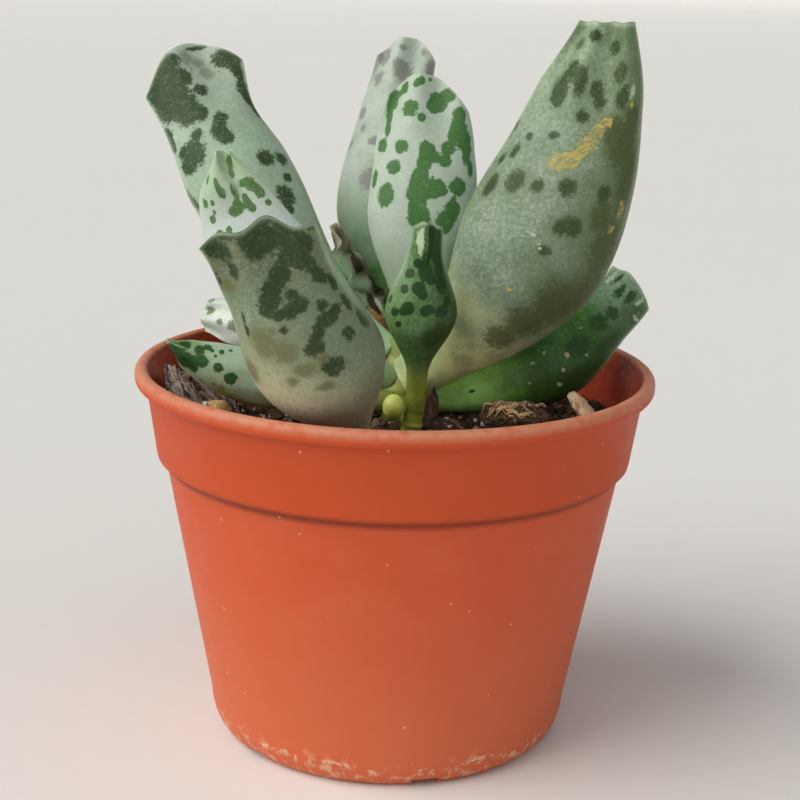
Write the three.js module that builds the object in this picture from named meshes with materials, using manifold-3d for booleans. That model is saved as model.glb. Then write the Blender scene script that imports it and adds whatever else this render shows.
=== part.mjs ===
// A potted adromischus: a short stem with fat spotted leaves, a small side shoot, withered bits,
// and dark soil that fills a round plastic nursery pot.
// Millimetres, Z up. The origin is the middle of the pot's underside; the plant's front looks along -Y.

import * as THREE from "three";
import { mergeVertices } from "three/addons/utils/BufferGeometryUtils.js";
import Module from "manifold-3d";

const wasm = await Module();
wasm.setup();

// Clearance between pieces that touch
const GAP = 0.3;

// Pot
const POT_HEIGHT = 62;
const LIP_RADIUS = 42.5;
const LIP_HEIGHT = 3.2;
const LIP_WIDTH = 2.2;
const LIP_ROUNDING = 0.9;
const COLLAR_TOP_RADIUS = 40.7;
const COLLAR_FOOT_RADIUS = 39.1;
const COLLAR_FOOT_Z = 47.6;
const BODY_TOP_RADIUS = 37.6;
const BODY_TOP_Z = 46.4;
const BODY_FOOT_RADIUS = 30.2;
const BODY_FOOT_Z = 5.7;
const BASE_RADIUS = 26.8;
const WALL = 1.7;
const FLOOR_TOP = 3.4;
const RECESS_DEPTH = 1.4;
const RECESS_RADIUS = 21.5;
const BOSS_RADIUS = 5;
const DRAIN_COUNT = 6;
const DRAIN_RADIUS = 2.6;
const DRAIN_CIRCLE = 13.5;
const NOTCH_COUNT = 6;
const NOTCH_WIDTH = 4.5;
const NOTCH_HEIGHT = 1.5;
const NOTCH_TURN = -137;
const POT_SIDES = 40;
const ARC_STEPS = 3;

// Soil
const SOIL_EDGE_Z = 53;
const SOIL_MOUND = 1.5;
const SOIL_SIDES = 36;
const SOIL_RINGS = 10;
const MOUND_REACH = [4, 34];
const LUMPS_FADE = [34, 38.5];
const LUMP_COUNT = 60;
const DIP_SHARE = 0.35;
const LUMP_HEIGHT = [0.4, 1];
const LUMP_RADIUS = [2.4, 4.6];

// Stem and side shoot
const STEM = {
  foot: [1, -5.5, 44],
  bend: [1, -5, 56],
  top: [0.5, -2.2, 66.5],
  radius: 3.4,
  topRadius: 2.2,
};
const SHOOT = {
  foot: [2, -14.2, 46],
  bend: [2.2, -14.4, 52],
  top: [3.2, -14.6, 57.6],
  radius: 1.9,
  topRadius: 1.5,
};
const STEM_RINGS = 9;
const STEM_SIDES = 12;
const SCAR_SWELL = 0.25;

// The hole in the soil round the front leaf's stalk: how far up the leaf it reaches and its room
const HOLE_REACH = 0.2;
const HOLE_ROOM = 1.8;

// Leaves. Each one follows a bent line from base over bend to tip, with its broad side turned to face.
// Widths and thicknesses are whole ones; the At values are shares of the length from the base.
const LEAVES = [
  {
    name: "leaf_back_left",
    colour: 0x8fa394,
    base: [-0.8, -2.6, 64.4],
    bend: [-24.1, 6, 80.3],
    tip: [-34.9, 15, 106.2],
    face: [0.35, -1, 0.25],
    neck: 4.5,
    belly: 18.5,
    bellyAt: 0.68,
    waist: 15.8,
    tipWidth: 17.5,
    thickness: 12,
    round: 6,
    slant: -0.8,
    wave: 0.9,
    waves: 1.7,
  },
  {
    name: "leaf_left_mid",
    colour: 0xa9b8ab,
    base: [-0.6, -4.4, 60.4],
    bend: [-23.7, -10.8, 75.8],
    tip: [-27.4, -8.5, 95.9],
    face: [-0.2, -1, 0.1],
    neck: 4,
    belly: 17.5,
    bellyAt: 0.48,
    waist: 10.8,
    tipWidth: 3.1,
    thickness: 11,
    round: 0.84,
    keel: 1.2,
    pressedBy: ["leaf_back_left", "leaf_right_big", "leaf_far_left"],
  },
  {
    name: "leaf_front_left",
    colour: 0x6d7c68,
    base: [-3.8, -15.5, 50],
    bend: [-10.7, -32, 68.8],
    tip: [-19, -43.5, 89.1],
    face: [0.1, -0.8, -0.6],
    neck: 3.4,
    belly: 20.1,
    bellyAt: 0.53,
    waist: 15.8,
    tipWidth: 16.3,
    thickness: 15,
    slant: 0.72,
    round: 2.2,
    wave: 1.1,
    waves: 2,
  },
  {
    name: "leaf_low_left",
    colour: 0x4f7a58,
    base: [-0.5, -6.6, 57],
    bend: [-26.6, -12.5, 61],
    tip: [-35.6, -13, 67.4],
    face: [-0.3, -1, 0.3],
    neck: 3.4,
    belly: 8.8,
    bellyAt: 0.5,
    waist: 5,
    tipWidth: 1,
    thickness: 8,
    round: 1,
    keel: 0.8,
  },
  {
    name: "leaf_far_left",
    colour: 0xa4b1a2,
    base: [-0.5, -3.2, 57.2],
    bend: [-17.4, 3, 66.5],
    tip: [-31.4, 6, 67.8],
    face: [-0.3, -1, 0.3],
    neck: 3.4,
    belly: 8,
    bellyAt: 0.6,
    waist: 7.5,
    tipWidth: 5.6,
    thickness: 7,
    round: 1.1,
    wave: 0.5,
  },
  {
    name: "leaf_back_mid",
    colour: 0x9fb0a5,
    base: [0.8, -0.4, 65.5],
    bend: [-5.4, 18, 83.8],
    tip: [0.3, 25, 109.8],
    face: [-0.1, -1, 0.15],
    neck: 3,
    belly: 16.8,
    bellyAt: 0.5,
    waist: 11.3,
    tipWidth: 10.1,
    thickness: 10.5,
    slant: -0.48,
    round: 3.7,
    wave: 0.7,
    pressedBy: ["leaf_back_left"],
  },
  {
    name: "leaf_centre",
    colour: 0xb0bfb2,
    base: [1, -3.8, 63.5],
    bend: [4, 0.4, 82.8],
    tip: [4.2, 5.4, 103.8],
    face: [0, -1, 0.1],
    neck: 2.6,
    belly: 17.5,
    bellyAt: 0.59,
    waist: 15.7,
    tipWidth: 13,
    thickness: 9,
    round: 4.5,
    slant: 1.2,
    wave: 0.8,
    pressedBy: ["leaf_back_mid", "leaf_right_big"],
  },
  {
    name: "leaf_right_big",
    colour: 0x7f9484,
    base: [1.8, -4.4, 60.5],
    bend: [24.7, -9, 74.9],
    tip: [30.5, -9, 117.6],
    face: [-0.3, -1, 0.15],
    neck: 7.6,
    belly: 24.5,
    bellyAt: 0.55,
    waist: 16.7,
    tipWidth: 8.6,
    thickness: 19,
    round: -0.07,
    slant: -0.51,
    wave: 1,
  },
  {
    name: "leaf_low_right",
    colour: 0x3f6b4a,
    base: [1.5, -5, 57],
    bend: [25.8, 1, 57.2],
    tip: [39.5, 12, 73.3],
    face: [-0.4, -1, 0.2],
    neck: 4.1,
    belly: 13.9,
    bellyAt: 0.59,
    waist: 10.1,
    tipWidth: 9.7,
    thickness: 10.5,
    round: 0.91,
    slant: 2.4,
    wave: 0.8,
    pressedBy: ["leaf_right_big"],
  },
  {
    name: "leaf_front_small",
    colour: 0x4f8f45,
    base: [3.4, -14.6, 58.2],
    bend: [3.6, -17.5, 74.2],
    tip: [4.4, -16, 86.8],
    face: [0.1, -1, 0.1],
    stalk: 0.2,
    neck: 3.6,
    belly: 11.1,
    bellyAt: 0.52,
    waist: 5.2,
    tipWidth: 4.5,
    thickness: 8,
    round: 0.77,
    wave: 0.4,
  },
  {
    name: "leaf_withered",
    colour: 0x9a8b72,
    base: [0, -1.8, 64.8],
    bend: [-4.6, 2, 73],
    tip: [-10.2, 5, 82.4],
    face: [0.2, -1, 0.1],
    neck: 1.8,
    belly: 3.6,
    bellyAt: 0.55,
    waist: 3.4,
    tipWidth: 2.6,
    thickness: 1.8,
    round: 1.2,
    wave: 0.4,
    pressedBy: ["leaf_back_left", "leaf_back_mid", "leaf_centre"],
  },
];
const LEAF_DEFAULTS = { stalk: 0.1, round: 1, slant: 0, wave: 0.4, waves: 2, keel: 0 };
const WAIST_AT = 0.87;
const THICKEST_BEFORE_BELLY = 0.05;
const WAIST_THICKNESS = 0.38;
const TIP_THICKNESS = 1.5;
const STALK_SWELL = 1.15;
const EDGE_SHARPNESS = 0.7;
const SHARP_FROM = 0.45;
const TIP_FROM = 0.55;
const WAVE_FROM = 0.72;
const KEEL_WIDTH = 0.22;
const LEAF_RINGS = 16;
const LEAF_SIDES = 14;

// Bud of the side shoot, dry sheath beside it, and the loose pieces on the soil
const BUD = { centre: [-0.1, -15.9, 58.6], size: [3.4, 3.4, 4.2] };
const BUD_SEAT = 3.1;
const SHEATH = {
  base: [5.4, -12.8, 55.6],
  bend: [6.8, -12.6, 58.5],
  tip: [7.4, -12, 61.5],
  face: [0.2, -1, 0.3],
  neck: 2,
  belly: 4.2,
  bellyAt: 0.45,
  waist: 3,
  tipWidth: 1.4,
  thickness: 1.2,
};
const WOOD_CHIP = { at: [30.5, -8.5], size: [6.5, 3.8, 1.8], turn: -12, tilt: 48 };
const BARK_CHIP = { at: [-34.5, 12.5], size: [7, 4.2, 1.8], turn: 158, tilt: -70 };
const BARK_CLUMP = { at: [19, -12.5], size: [9.5, 6.5, 4.4], turn: 15, tilt: 6 };
const PEBBLE = { at: [-28.5, -9.5], size: [4.6, 4, 3.4], turn: 30, tilt: 0 };
const CHIP_SQUARENESS = 0.65;
const CHIP_ROUGHNESS = 0.12;

// Colours of the other pieces
const TERRACOTTA = 0xc8643c;
const DARK_SOIL = 0x3a2d22;
const STEM_GREEN = 0x9aa35a;
const BUD_GREEN = 0x9db544;
const DRY_BROWN = 0x4a3626;
const CHIP_TAN = 0xb08a5c;
const BARK_BEIGE = 0xa98f76;
const PEBBLE_YELLOW = 0xd69a4a;

const vector = (point) => new THREE.Vector3(...point);
const smooth = (from, to, x) => THREE.MathUtils.smoothstep(x, from, to);

// A seeded draw of numbers from 0 to 1
function draws(seed) {
  let state = seed;
  return () => {
    state = (state * 16807) % 2147483647;
    return state / 2147483647;
  };
}

// A smooth line through knots [at, value] that never overshoots them
function profileLine(knots) {
  const slopes = knots.slice(1).map(([at, value], i) => (value - knots[i][1]) / (at - knots[i][0]));
  const tangents = knots.map((_, i) => {
    if (i === 0) return slopes[0];
    if (i === slopes.length) return slopes[i - 1];
    const [before, after] = [slopes[i - 1], slopes[i]];
    return before * after <= 0 ? 0 : (2 * before * after) / (before + after);
  });
  return (x) => {
    const passed = knots.findLastIndex(([at]) => at <= x);
    const k = Math.min(slopes.length - 1, Math.max(0, passed));
    const [from, to] = [knots[k], knots[k + 1]];
    const span = to[0] - from[0];
    const u = (x - from[0]) / span;
    return (
      from[1] * (1 + 2 * u) * (1 - u) ** 2 +
      tangents[k] * span * u * (1 - u) ** 2 +
      to[1] * u * u * (3 - 2 * u) +
      tangents[k + 1] * span * u * u * (u - 1)
    );
  };
}

// A closed skin over rings of points, each ring turning anticlockwise seen from the last one
function skin(rings) {
  const sides = rings[0].length;
  const positions = rings.flat().flatMap((p) => [p.x, p.y, p.z]);
  const index = [];
  for (let i = 0; i + 1 < rings.length; i++) {
    for (let j = 0; j < sides; j++) {
      const a = i * sides + j;
      const b = i * sides + ((j + 1) % sides);
      index.push(a, b, b + sides, a, b + sides, a + sides);
    }
  }
  // Strips across the first and last ring close the ends, so a flat blade's end stays flat
  const last = (rings.length - 1) * sides;
  for (let j = 1; j < sides / 2; j++) {
    const opposite = sides - j;
    const beyond = (opposite + 1) % sides;
    for (const [a, b, c] of [[j, j + 1, opposite], [beyond, j, opposite]]) {
      index.push(last + a, last + b, last + c);
      index.push(a, c, b);
    }
  }
  const geometry = new THREE.BufferGeometry();
  geometry.setAttribute("position", new THREE.Float32BufferAttribute(positions, 3));
  geometry.setIndex(index);
  return geometry;
}

// The frame of a bent line at a share t of its length: its place, its run, and the two ways across it
function lineFrame(line, face, t) {
  const place = line.getPoint(t);
  const run = line.getTangent(t);
  const across = face.clone().cross(run).normalize();
  const through = run.clone().cross(across);
  return { place, run, across, through };
}

// One leaf: a fat stalked blade whose lens-shaped section sharpens to a waved edge at the tip
function leafGeometry(shape) {
  const leaf = { ...LEAF_DEFAULTS, ...shape };
  const line = new THREE.QuadraticBezierCurve3(vector(leaf.base), vector(leaf.bend), vector(leaf.tip));
  const face = vector(leaf.face).normalize();
  const halfWidth = profileLine([
    [0, leaf.neck / 2],
    [leaf.stalk, (leaf.neck * STALK_SWELL) / 2],
    [leaf.bellyAt, leaf.belly / 2],
    [WAIST_AT, leaf.waist / 2],
    [1, leaf.tipWidth / 2],
  ]);
  const halfThickness = profileLine([
    [0, leaf.neck / 2],
    [leaf.stalk, (leaf.neck * STALK_SWELL) / 2],
    [leaf.bellyAt - THICKEST_BEFORE_BELLY, leaf.thickness / 2],
    [WAIST_AT, (leaf.thickness * WAIST_THICKNESS) / 2],
    [1, Math.min(TIP_THICKNESS, leaf.thickness / 2) / 2],
  ]);
  const rings = [];
  for (let i = 0; i < LEAF_RINGS; i++) {
    const t = i / (LEAF_RINGS - 1);
    const { place, run, across, through } = lineFrame(line, face, t);
    const nearTip = smooth(TIP_FROM, 1, t);
    const sharpness = 1 + EDGE_SHARPNESS * smooth(SHARP_FROM, 1, t);
    const ring = [];
    for (let j = 0; j < LEAF_SIDES; j++) {
      const angle = (j / LEAF_SIDES) * 2 * Math.PI;
      const side = Math.cos(angle);
      const up = Math.sin(angle);
      const lens = Math.sign(up) * Math.abs(up) ** sharpness * halfThickness(t);
      const wave = leaf.wave * smooth(WAVE_FROM, 1, t) * Math.sin(Math.PI * leaf.waves * side);
      const keel = leaf.keel * nearTip * Math.exp(-((side / KEEL_WIDTH) ** 2)) * Math.max(0, up);
      const forward = nearTip * (leaf.round * (1 - side * side) + leaf.slant * side);
      ring.push(
        place
          .clone()
          .addScaledVector(across, side * halfWidth(t))
          .addScaledVector(through, lens + wave + keel)
          .addScaledVector(run, forward),
      );
    }
    rings.push(ring);
  }
  return skin(rings);
}

// A round tapering stem along a bent line, swollen a little where each leaf scar rings it
function stemGeometry(stem, grow = 0) {
  const rings = [];
  const line = new THREE.QuadraticBezierCurve3(vector(stem.foot), vector(stem.bend), vector(stem.top));
  const face = new THREE.Vector3(0, -1, 0);
  for (let i = 0; i < STEM_RINGS; i++) {
    const t = i / (STEM_RINGS - 1);
    const { place, run, across, through } = lineFrame(line, face, t);
    const radius = THREE.MathUtils.lerp(stem.radius, stem.topRadius, t) + (i % 2 ? SCAR_SWELL : 0) + grow;
    if (i === 0) place.addScaledVector(run, -grow);
    if (i === STEM_RINGS - 1) place.addScaledVector(run, grow);
    const ring = [];
    for (let j = 0; j < STEM_SIDES; j++) {
      const angle = (j / STEM_SIDES) * 2 * Math.PI;
      ring.push(
        place
          .clone()
          .addScaledVector(across, radius * Math.cos(angle))
          .addScaledVector(through, radius * Math.sin(angle)),
      );
    }
    rings.push(ring);
  }
  return skin(rings);
}

// A closed geometry as a solid that can be cut
function solidOf(geometry) {
  const bare = new THREE.BufferGeometry();
  bare.setAttribute("position", geometry.getAttribute("position").clone());
  bare.setIndex(geometry.index ? geometry.index.clone() : null);
  const merged = mergeVertices(bare, 1e-4);
  return new wasm.Manifold(
    new wasm.Mesh({
      numProp: 3,
      vertProperties: new Float32Array(merged.attributes.position.array),
      triVerts: new Uint32Array(merged.index.array),
    }),
  );
}

function geometryOf(solid) {
  const { vertProperties, triVerts } = solid.getMesh();
  const geometry = new THREE.BufferGeometry();
  geometry.setAttribute("position", new THREE.BufferAttribute(new Float32Array(vertProperties), 3));
  geometry.setIndex(new THREE.BufferAttribute(new Uint32Array(triVerts), 1));
  return geometry;
}

// The largest single body of a solid, without the scraps that a cut can leave
function mainBody(solid) {
  return solid.decompose().sort((a, b) => b.volume() - a.volume())[0];
}

// A geometry with the space of each tool taken out of it
function cut(geometry, ...tools) {
  const solid = tools.reduce((left, tool) => left.subtract(solidOf(tool)), solidOf(geometry));
  return geometryOf(mainBody(solid));
}

// Points of an elliptic arc in the pot's profile, from one angle to another in degrees
function arc(centre, radii, from, to) {
  return Array.from({ length: ARC_STEPS + 1 }, (_, i) => {
    const angle = THREE.MathUtils.degToRad(from + ((to - from) * i) / ARC_STEPS);
    return [centre[0] + radii[0] * Math.cos(angle), centre[1] + radii[1] * Math.sin(angle)];
  });
}

// The pot's outline from the middle of its underside, up the outside, over the lip and down the inside
function potProfile() {
  const lipFoot = POT_HEIGHT - LIP_HEIGHT;
  const round = [LIP_ROUNDING, LIP_ROUNDING];
  const outerRounding = LIP_RADIUS - LIP_ROUNDING;
  const innerRounding = LIP_RADIUS - LIP_WIDTH + LIP_ROUNDING;
  const stepInside = BODY_TOP_Z - (COLLAR_FOOT_Z - BODY_TOP_Z) / 2;
  const outline = [
    [0, 0],
    [BOSS_RADIUS, 0],
    [BOSS_RADIUS, RECESS_DEPTH],
    [RECESS_RADIUS, RECESS_DEPTH],
    [RECESS_RADIUS, 0],
    ...arc([BASE_RADIUS, BODY_FOOT_Z], [BODY_FOOT_RADIUS - BASE_RADIUS, BODY_FOOT_Z], -90, 0),
    [BODY_TOP_RADIUS, BODY_TOP_Z],
    [COLLAR_FOOT_RADIUS, COLLAR_FOOT_Z],
    [COLLAR_TOP_RADIUS, lipFoot],
    ...arc([outerRounding, lipFoot + LIP_ROUNDING], round, -90, 0),
    ...arc([outerRounding, POT_HEIGHT - LIP_ROUNDING], round, 0, 90),
    ...arc([innerRounding, POT_HEIGHT - LIP_ROUNDING], round, 90, 180),
    [innerRadius(lipFoot), lipFoot],
    [innerRadius(COLLAR_FOOT_Z), COLLAR_FOOT_Z],
    [innerRadius(BODY_TOP_Z), stepInside],
    [innerRadius(BODY_FOOT_Z), BODY_FOOT_Z],
    [BASE_RADIUS - WALL / 2, FLOOR_TOP],
    [0, FLOOR_TOP],
  ];
  return outline.map(([radius, z]) => new THREE.Vector2(radius, z));
}

// The radius of the pot's inner wall at a height, in the straight body or in the collar above it
function innerRadius(z) {
  const { mapLinear } = THREE.MathUtils;
  const outer =
    z <= BODY_TOP_Z
      ? mapLinear(z, BODY_FOOT_Z, BODY_TOP_Z, BODY_FOOT_RADIUS, BODY_TOP_RADIUS)
      : mapLinear(z, COLLAR_FOOT_Z, POT_HEIGHT - LIP_HEIGHT, COLLAR_FOOT_RADIUS, COLLAR_TOP_RADIUS);
  return outer - WALL;
}

function turned(profile, sides) {
  return new THREE.LatheGeometry(profile, sides).rotateX(Math.PI / 2);
}

function potGeometry() {
  const pot = turned(potProfile(), POT_SIDES);
  const tools = [];
  for (let i = 0; i < DRAIN_COUNT; i++) {
    const angle = ((i + 0.5) / DRAIN_COUNT) * 2 * Math.PI;
    const drain = new THREE.CylinderGeometry(DRAIN_RADIUS, DRAIN_RADIUS, 2 * FLOOR_TOP + 2, 12);
    drain.rotateX(Math.PI / 2);
    drain.translate(DRAIN_CIRCLE * Math.cos(angle), DRAIN_CIRCLE * Math.sin(angle), 0);
    tools.push(drain);
  }
  const ringMiddle = (RECESS_RADIUS + BODY_FOOT_RADIUS) / 2;
  for (let i = 0; i < NOTCH_COUNT; i++) {
    const through = 2 * (BODY_FOOT_RADIUS - RECESS_RADIUS);
    const notch = new THREE.BoxGeometry(through, NOTCH_WIDTH, 2 * NOTCH_HEIGHT);
    notch.translate(ringMiddle, 0, 0);
    notch.rotateZ(THREE.MathUtils.degToRad(NOTCH_TURN) + (i / NOTCH_COUNT) * 2 * Math.PI);
    tools.push(notch);
  }
  return cut(pot, ...tools);
}

// The soil's crumbs: low round lumps thrown over the surface
const lumps = (() => {
  const draw = draws(11);
  const between = ([low, high]) => low + (high - low) * draw();
  return Array.from({ length: LUMP_COUNT }, () => {
    const radius = LUMPS_FADE[1] * Math.sqrt(draw());
    const angle = 2 * Math.PI * draw();
    return {
      x: radius * Math.cos(angle),
      y: radius * Math.sin(angle),
      height: between(LUMP_HEIGHT) * (draw() < DIP_SHARE ? -1 : 1),
      radius: between(LUMP_RADIUS),
    };
  });
})();

// The height of the soil's surface: a low mound round the stem, with lumps that fade out at the wall
function soilHeight(x, y) {
  const radius = Math.hypot(x, y);
  const mound = SOIL_MOUND * (1 - smooth(...MOUND_REACH, Math.hypot(x - STEM.foot[0], y - STEM.foot[1])));
  const relief = lumps.reduce((sum, lump) => {
    const away = Math.hypot(x - lump.x, y - lump.y) / lump.radius;
    return sum + lump.height * Math.exp(-away * away);
  }, 0);
  return SOIL_EDGE_Z + mound + relief * (1 - smooth(...LUMPS_FADE, radius));
}

function soilGeometry() {
  const wallAt = (z) => innerRadius(z) - 1.5 * GAP;
  const levels = [FLOOR_TOP + GAP, BODY_FOOT_Z + 1, BODY_TOP_Z - 0.2, COLLAR_FOOT_Z + 0.4];
  const rings = levels.map((z, i) => circle(i ? wallAt(z) : BASE_RADIUS - 1.8, () => z));
  const edge = wallAt(SOIL_EDGE_Z);
  for (let i = 0; i < SOIL_RINGS; i++) {
    rings.push(circle(edge * (1 - i / SOIL_RINGS), soilHeight));
  }
  return cut(skin(rings), stemGeometry(STEM, GAP), stemGeometry(SHOOT, GAP), leafHole());
}

function circle(radius, heightAt) {
  return Array.from({ length: SOIL_SIDES }, (_, j) => {
    const angle = (j / SOIL_SIDES) * 2 * Math.PI;
    const x = radius * Math.cos(angle);
    const y = radius * Math.sin(angle);
    return new THREE.Vector3(x, y, heightAt(x, y));
  });
}

// The plain round hole that the front leaf's stalk stands in
function leafHole() {
  const leaf = leafNamed("leaf_front_left");
  const line = new THREE.QuadraticBezierCurve3(vector(leaf.base), vector(leaf.bend), vector(leaf.tip));
  const foot = line.getPoint(0);
  const run = line.getTangent(0);
  const top = line.getPoint(HOLE_REACH);
  const radius = (leaf.neck * STALK_SWELL) / 2 + HOLE_ROOM;
  return stemGeometry({
    foot: foot.clone().addScaledVector(run, -GAP).toArray(),
    bend: foot.clone().lerp(top, 0.5).toArray(),
    top: top.toArray(),
    radius,
    topRadius: radius,
  });
}

// A bud of the side shoot, round and a little taller than wide
function budGeometry() {
  const [wide, deep, tall] = BUD.size;
  const bud = new THREE.SphereGeometry(0.5, 14, 10).rotateX(Math.PI / 2).scale(wide, deep, tall);
  bud.translate(...BUD.centre);
  const leafBase = leafGeometry({ ...leafNamed("leaf_front_small"), base: SHOOT.top, neck: BUD_SEAT });
  return cut(bud, stemGeometry(SHOOT, GAP), leafBase);
}

function leafNamed(name) {
  return LEAVES.find((leaf) => leaf.name === name);
}

// A leaf grown by the clearance all round, to trim what its neighbour presses against
function grownLeaf(name) {
  const leaf = leafNamed(name);
  const back = vector(leaf.base).sub(vector(leaf.bend)).setLength(2 * GAP);
  const grown = { ...leaf, base: vector(leaf.base).add(back).toArray() };
  for (const size of ["neck", "belly", "waist", "tipWidth", "thickness"]) grown[size] += 2 * GAP;
  return leafGeometry(grown);
}

// A chip or pebble that lies on the soil: a rounded block with uneven corners, resting on the lumps
function chipGeometry({ at, size, turn, tilt }, seed) {
  const draw = draws(seed);
  const block = new THREE.IcosahedronGeometry(0.62, 1);
  const rough = mergeVertices(withoutNormals(block), 1e-4);
  const position = rough.getAttribute("position");
  for (let i = 0; i < position.count; i++) {
    const point = new THREE.Vector3().fromBufferAttribute(position, i);
    const boxed = point.clone().lerp(point.clone().clampScalar(-0.5, 0.5), CHIP_SQUARENESS);
    boxed.multiplyScalar(1 + CHIP_ROUGHNESS * (draw() - 0.5));
    position.setXYZ(i, boxed.x * size[0], boxed.y * size[1], boxed.z * size[2]);
  }
  rough.rotateY(THREE.MathUtils.degToRad(tilt));
  rough.rotateZ(THREE.MathUtils.degToRad(turn));
  rough.computeBoundingBox();
  let rest = -Infinity;
  for (let i = 0; i < position.count; i++) {
    const ground = soilHeight(position.getX(i) + at[0], position.getY(i) + at[1]);
    rest = Math.max(rest, ground - position.getZ(i));
  }
  return rough.translate(at[0], at[1], rest + 1.5 * GAP);
}

function withoutNormals(geometry) {
  geometry.deleteAttribute("normal");
  geometry.deleteAttribute("uv");
  return geometry;
}

function piece(name, geometry, colour, roughness) {
  geometry.computeVertexNormals();
  const material = new THREE.MeshStandardMaterial({ color: colour, roughness, metalness: 0 });
  const mesh = new THREE.Mesh(geometry, material);
  mesh.name = name;
  return mesh;
}

function plant() {
  const group = new THREE.Group();
  group.add(piece("stem", stemGeometry(STEM), STEM_GREEN, 0.6));
  group.add(piece("side_shoot", stemGeometry(SHOOT), STEM_GREEN, 0.55));
  for (const leaf of LEAVES) {
    const neighbours = (leaf.pressedBy ?? []).map(grownLeaf);
    const blade = cut(leafGeometry(leaf), stemGeometry(STEM, GAP), stemGeometry(SHOOT, GAP), ...neighbours);
    group.add(piece(leaf.name, blade, leaf.colour, 0.6));
  }
  group.add(piece("bud_front", budGeometry(), BUD_GREEN, 0.5));
  group.add(piece("dried_sheath", leafGeometry(SHEATH), DRY_BROWN, 0.85));
  return group;
}

function groundPieces() {
  const group = new THREE.Group();
  group.add(piece("soil", soilGeometry(), DARK_SOIL, 0.95));
  group.add(piece("wood_chip", chipGeometry(WOOD_CHIP, 3), CHIP_TAN, 0.85));
  group.add(piece("bark_chip", chipGeometry(BARK_CHIP, 5), BARK_BEIGE, 0.9));
  group.add(piece("bark_clump", chipGeometry(BARK_CLUMP, 12), CHIP_TAN, 0.9));
  group.add(piece("pebble", chipGeometry(PEBBLE, 8), PEBBLE_YELLOW, 0.7));
  return group;
}

const pottedAdromischus = new THREE.Group();
pottedAdromischus.name = "potted_adromischus";
pottedAdromischus.add(piece("pot", potGeometry(), TERRACOTTA, 0.55));
pottedAdromischus.add(groundPieces());
pottedAdromischus.add(plant());

export default pottedAdromischus;
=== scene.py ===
"""A potted adromischus: fat spotted leaves on a short stem, dark soil with bark and roots, and a
plastic nursery pot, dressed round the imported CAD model. Lengths in the tables are millimetres."""

import math

import bmesh
import bpy
import numpy as np
from bpy.props import FloatProperty, FloatVectorProperty, IntProperty, PointerProperty
from mathutils import Matrix, Vector, noise


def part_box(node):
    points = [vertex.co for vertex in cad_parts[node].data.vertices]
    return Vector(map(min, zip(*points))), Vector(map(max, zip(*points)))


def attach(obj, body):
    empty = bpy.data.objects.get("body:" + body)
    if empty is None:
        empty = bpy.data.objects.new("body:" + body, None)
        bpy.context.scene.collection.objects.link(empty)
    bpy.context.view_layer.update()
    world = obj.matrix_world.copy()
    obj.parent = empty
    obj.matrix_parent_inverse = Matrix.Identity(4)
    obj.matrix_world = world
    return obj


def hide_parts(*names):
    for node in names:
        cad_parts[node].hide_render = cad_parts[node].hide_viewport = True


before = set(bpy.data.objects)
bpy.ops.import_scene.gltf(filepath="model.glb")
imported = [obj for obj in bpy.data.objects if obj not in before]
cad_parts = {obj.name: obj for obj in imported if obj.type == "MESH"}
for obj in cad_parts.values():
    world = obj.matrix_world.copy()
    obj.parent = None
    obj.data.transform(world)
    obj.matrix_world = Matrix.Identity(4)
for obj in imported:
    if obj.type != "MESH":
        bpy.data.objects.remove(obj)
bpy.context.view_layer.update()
MM = 0.001
BODY = "root"

bl_info = {
    "name": "Potted Adromischus",
    "version": (1, 0, 0),
    "blender": (4, 5, 0),
    "location": "3D View > Sidebar > Adromischus",
    "description": "Builds the pot, the soil and the spotted leaves round the packed model",
    "category": "Object",
}

# The photo was taken from a little above the lip, with the camera turned a little.
# Place in millimetres, angles in degrees, focal length in pixels of a frame 800 wide.
CAMERA_PLACE = (0.9, -260, 123.3)
CAMERA_PITCH = 14.58
CAMERA_ROLL = 1.55
CAMERA_FOCAL = 1619
FRAME_WIDTH = 800
SENSOR_WIDTH = 36
KEY_FROM = (-0.72, -0.26, 0.64)
FILL_FROM = (0.16, -0.86, 0.48)
FILL_SHARE = 0.5
KEY_WIDTH = 60
FILL_WIDTH = 120

# Pot outline: the sizes of the CAD pot, with finer roundings
POT_HEIGHT = 62
LIP_RADIUS = 42.5
LIP_HEIGHT = 2.8
LIP_WIDTH = 2.2
LIP_ROUNDING = 1.05
COLLAR_TOP_RADIUS = 40.7
COLLAR_FOOT_RADIUS = 39.1
COLLAR_FOOT_Z = 47.6
BODY_TOP_RADIUS = 37.6
BODY_TOP_Z = 46.4
BODY_FOOT_RADIUS = 30.2
# Height of the band of painted shadow under the collar's overhang
GROOVE_SHADOW_Z = 46.7
BODY_FOOT_Z = 5.7
BASE_RADIUS = 26.8
WALL = 1.7
FLOOR_TOP = 3.4
RECESS_DEPTH = 1.4
RECESS_RADIUS = 21.5
BOSS_RADIUS = 5
DRAIN_CIRCLE = 13.5
DRAIN_RADIUS = 2.6
NOTCH_SIZE = (18, 4.5, 3)
NOTCH_TURN = -137
OPENINGS = 6

# Stems: foot, bend and top of each centre line, and the radius at both ends
STEMS = {
    "stem": {"foot": (1, -5.5, 44), "bend": (1, -5, 56), "top": (0.5, -2.2, 66.5), "radii": (3.4, 2.2)},
    "side_shoot": {
        "foot": (2, -14.2, 46),
        "bend": (2.2, -14.4, 52),
        "top": (3.2, -14.6, 57.6),
        "radii": (1.9, 1.5),
    },
}
BUD = {"centre": (-0.1, -15.9, 58.6), "size": (3.4, 3.4, 4.2)}

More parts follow.
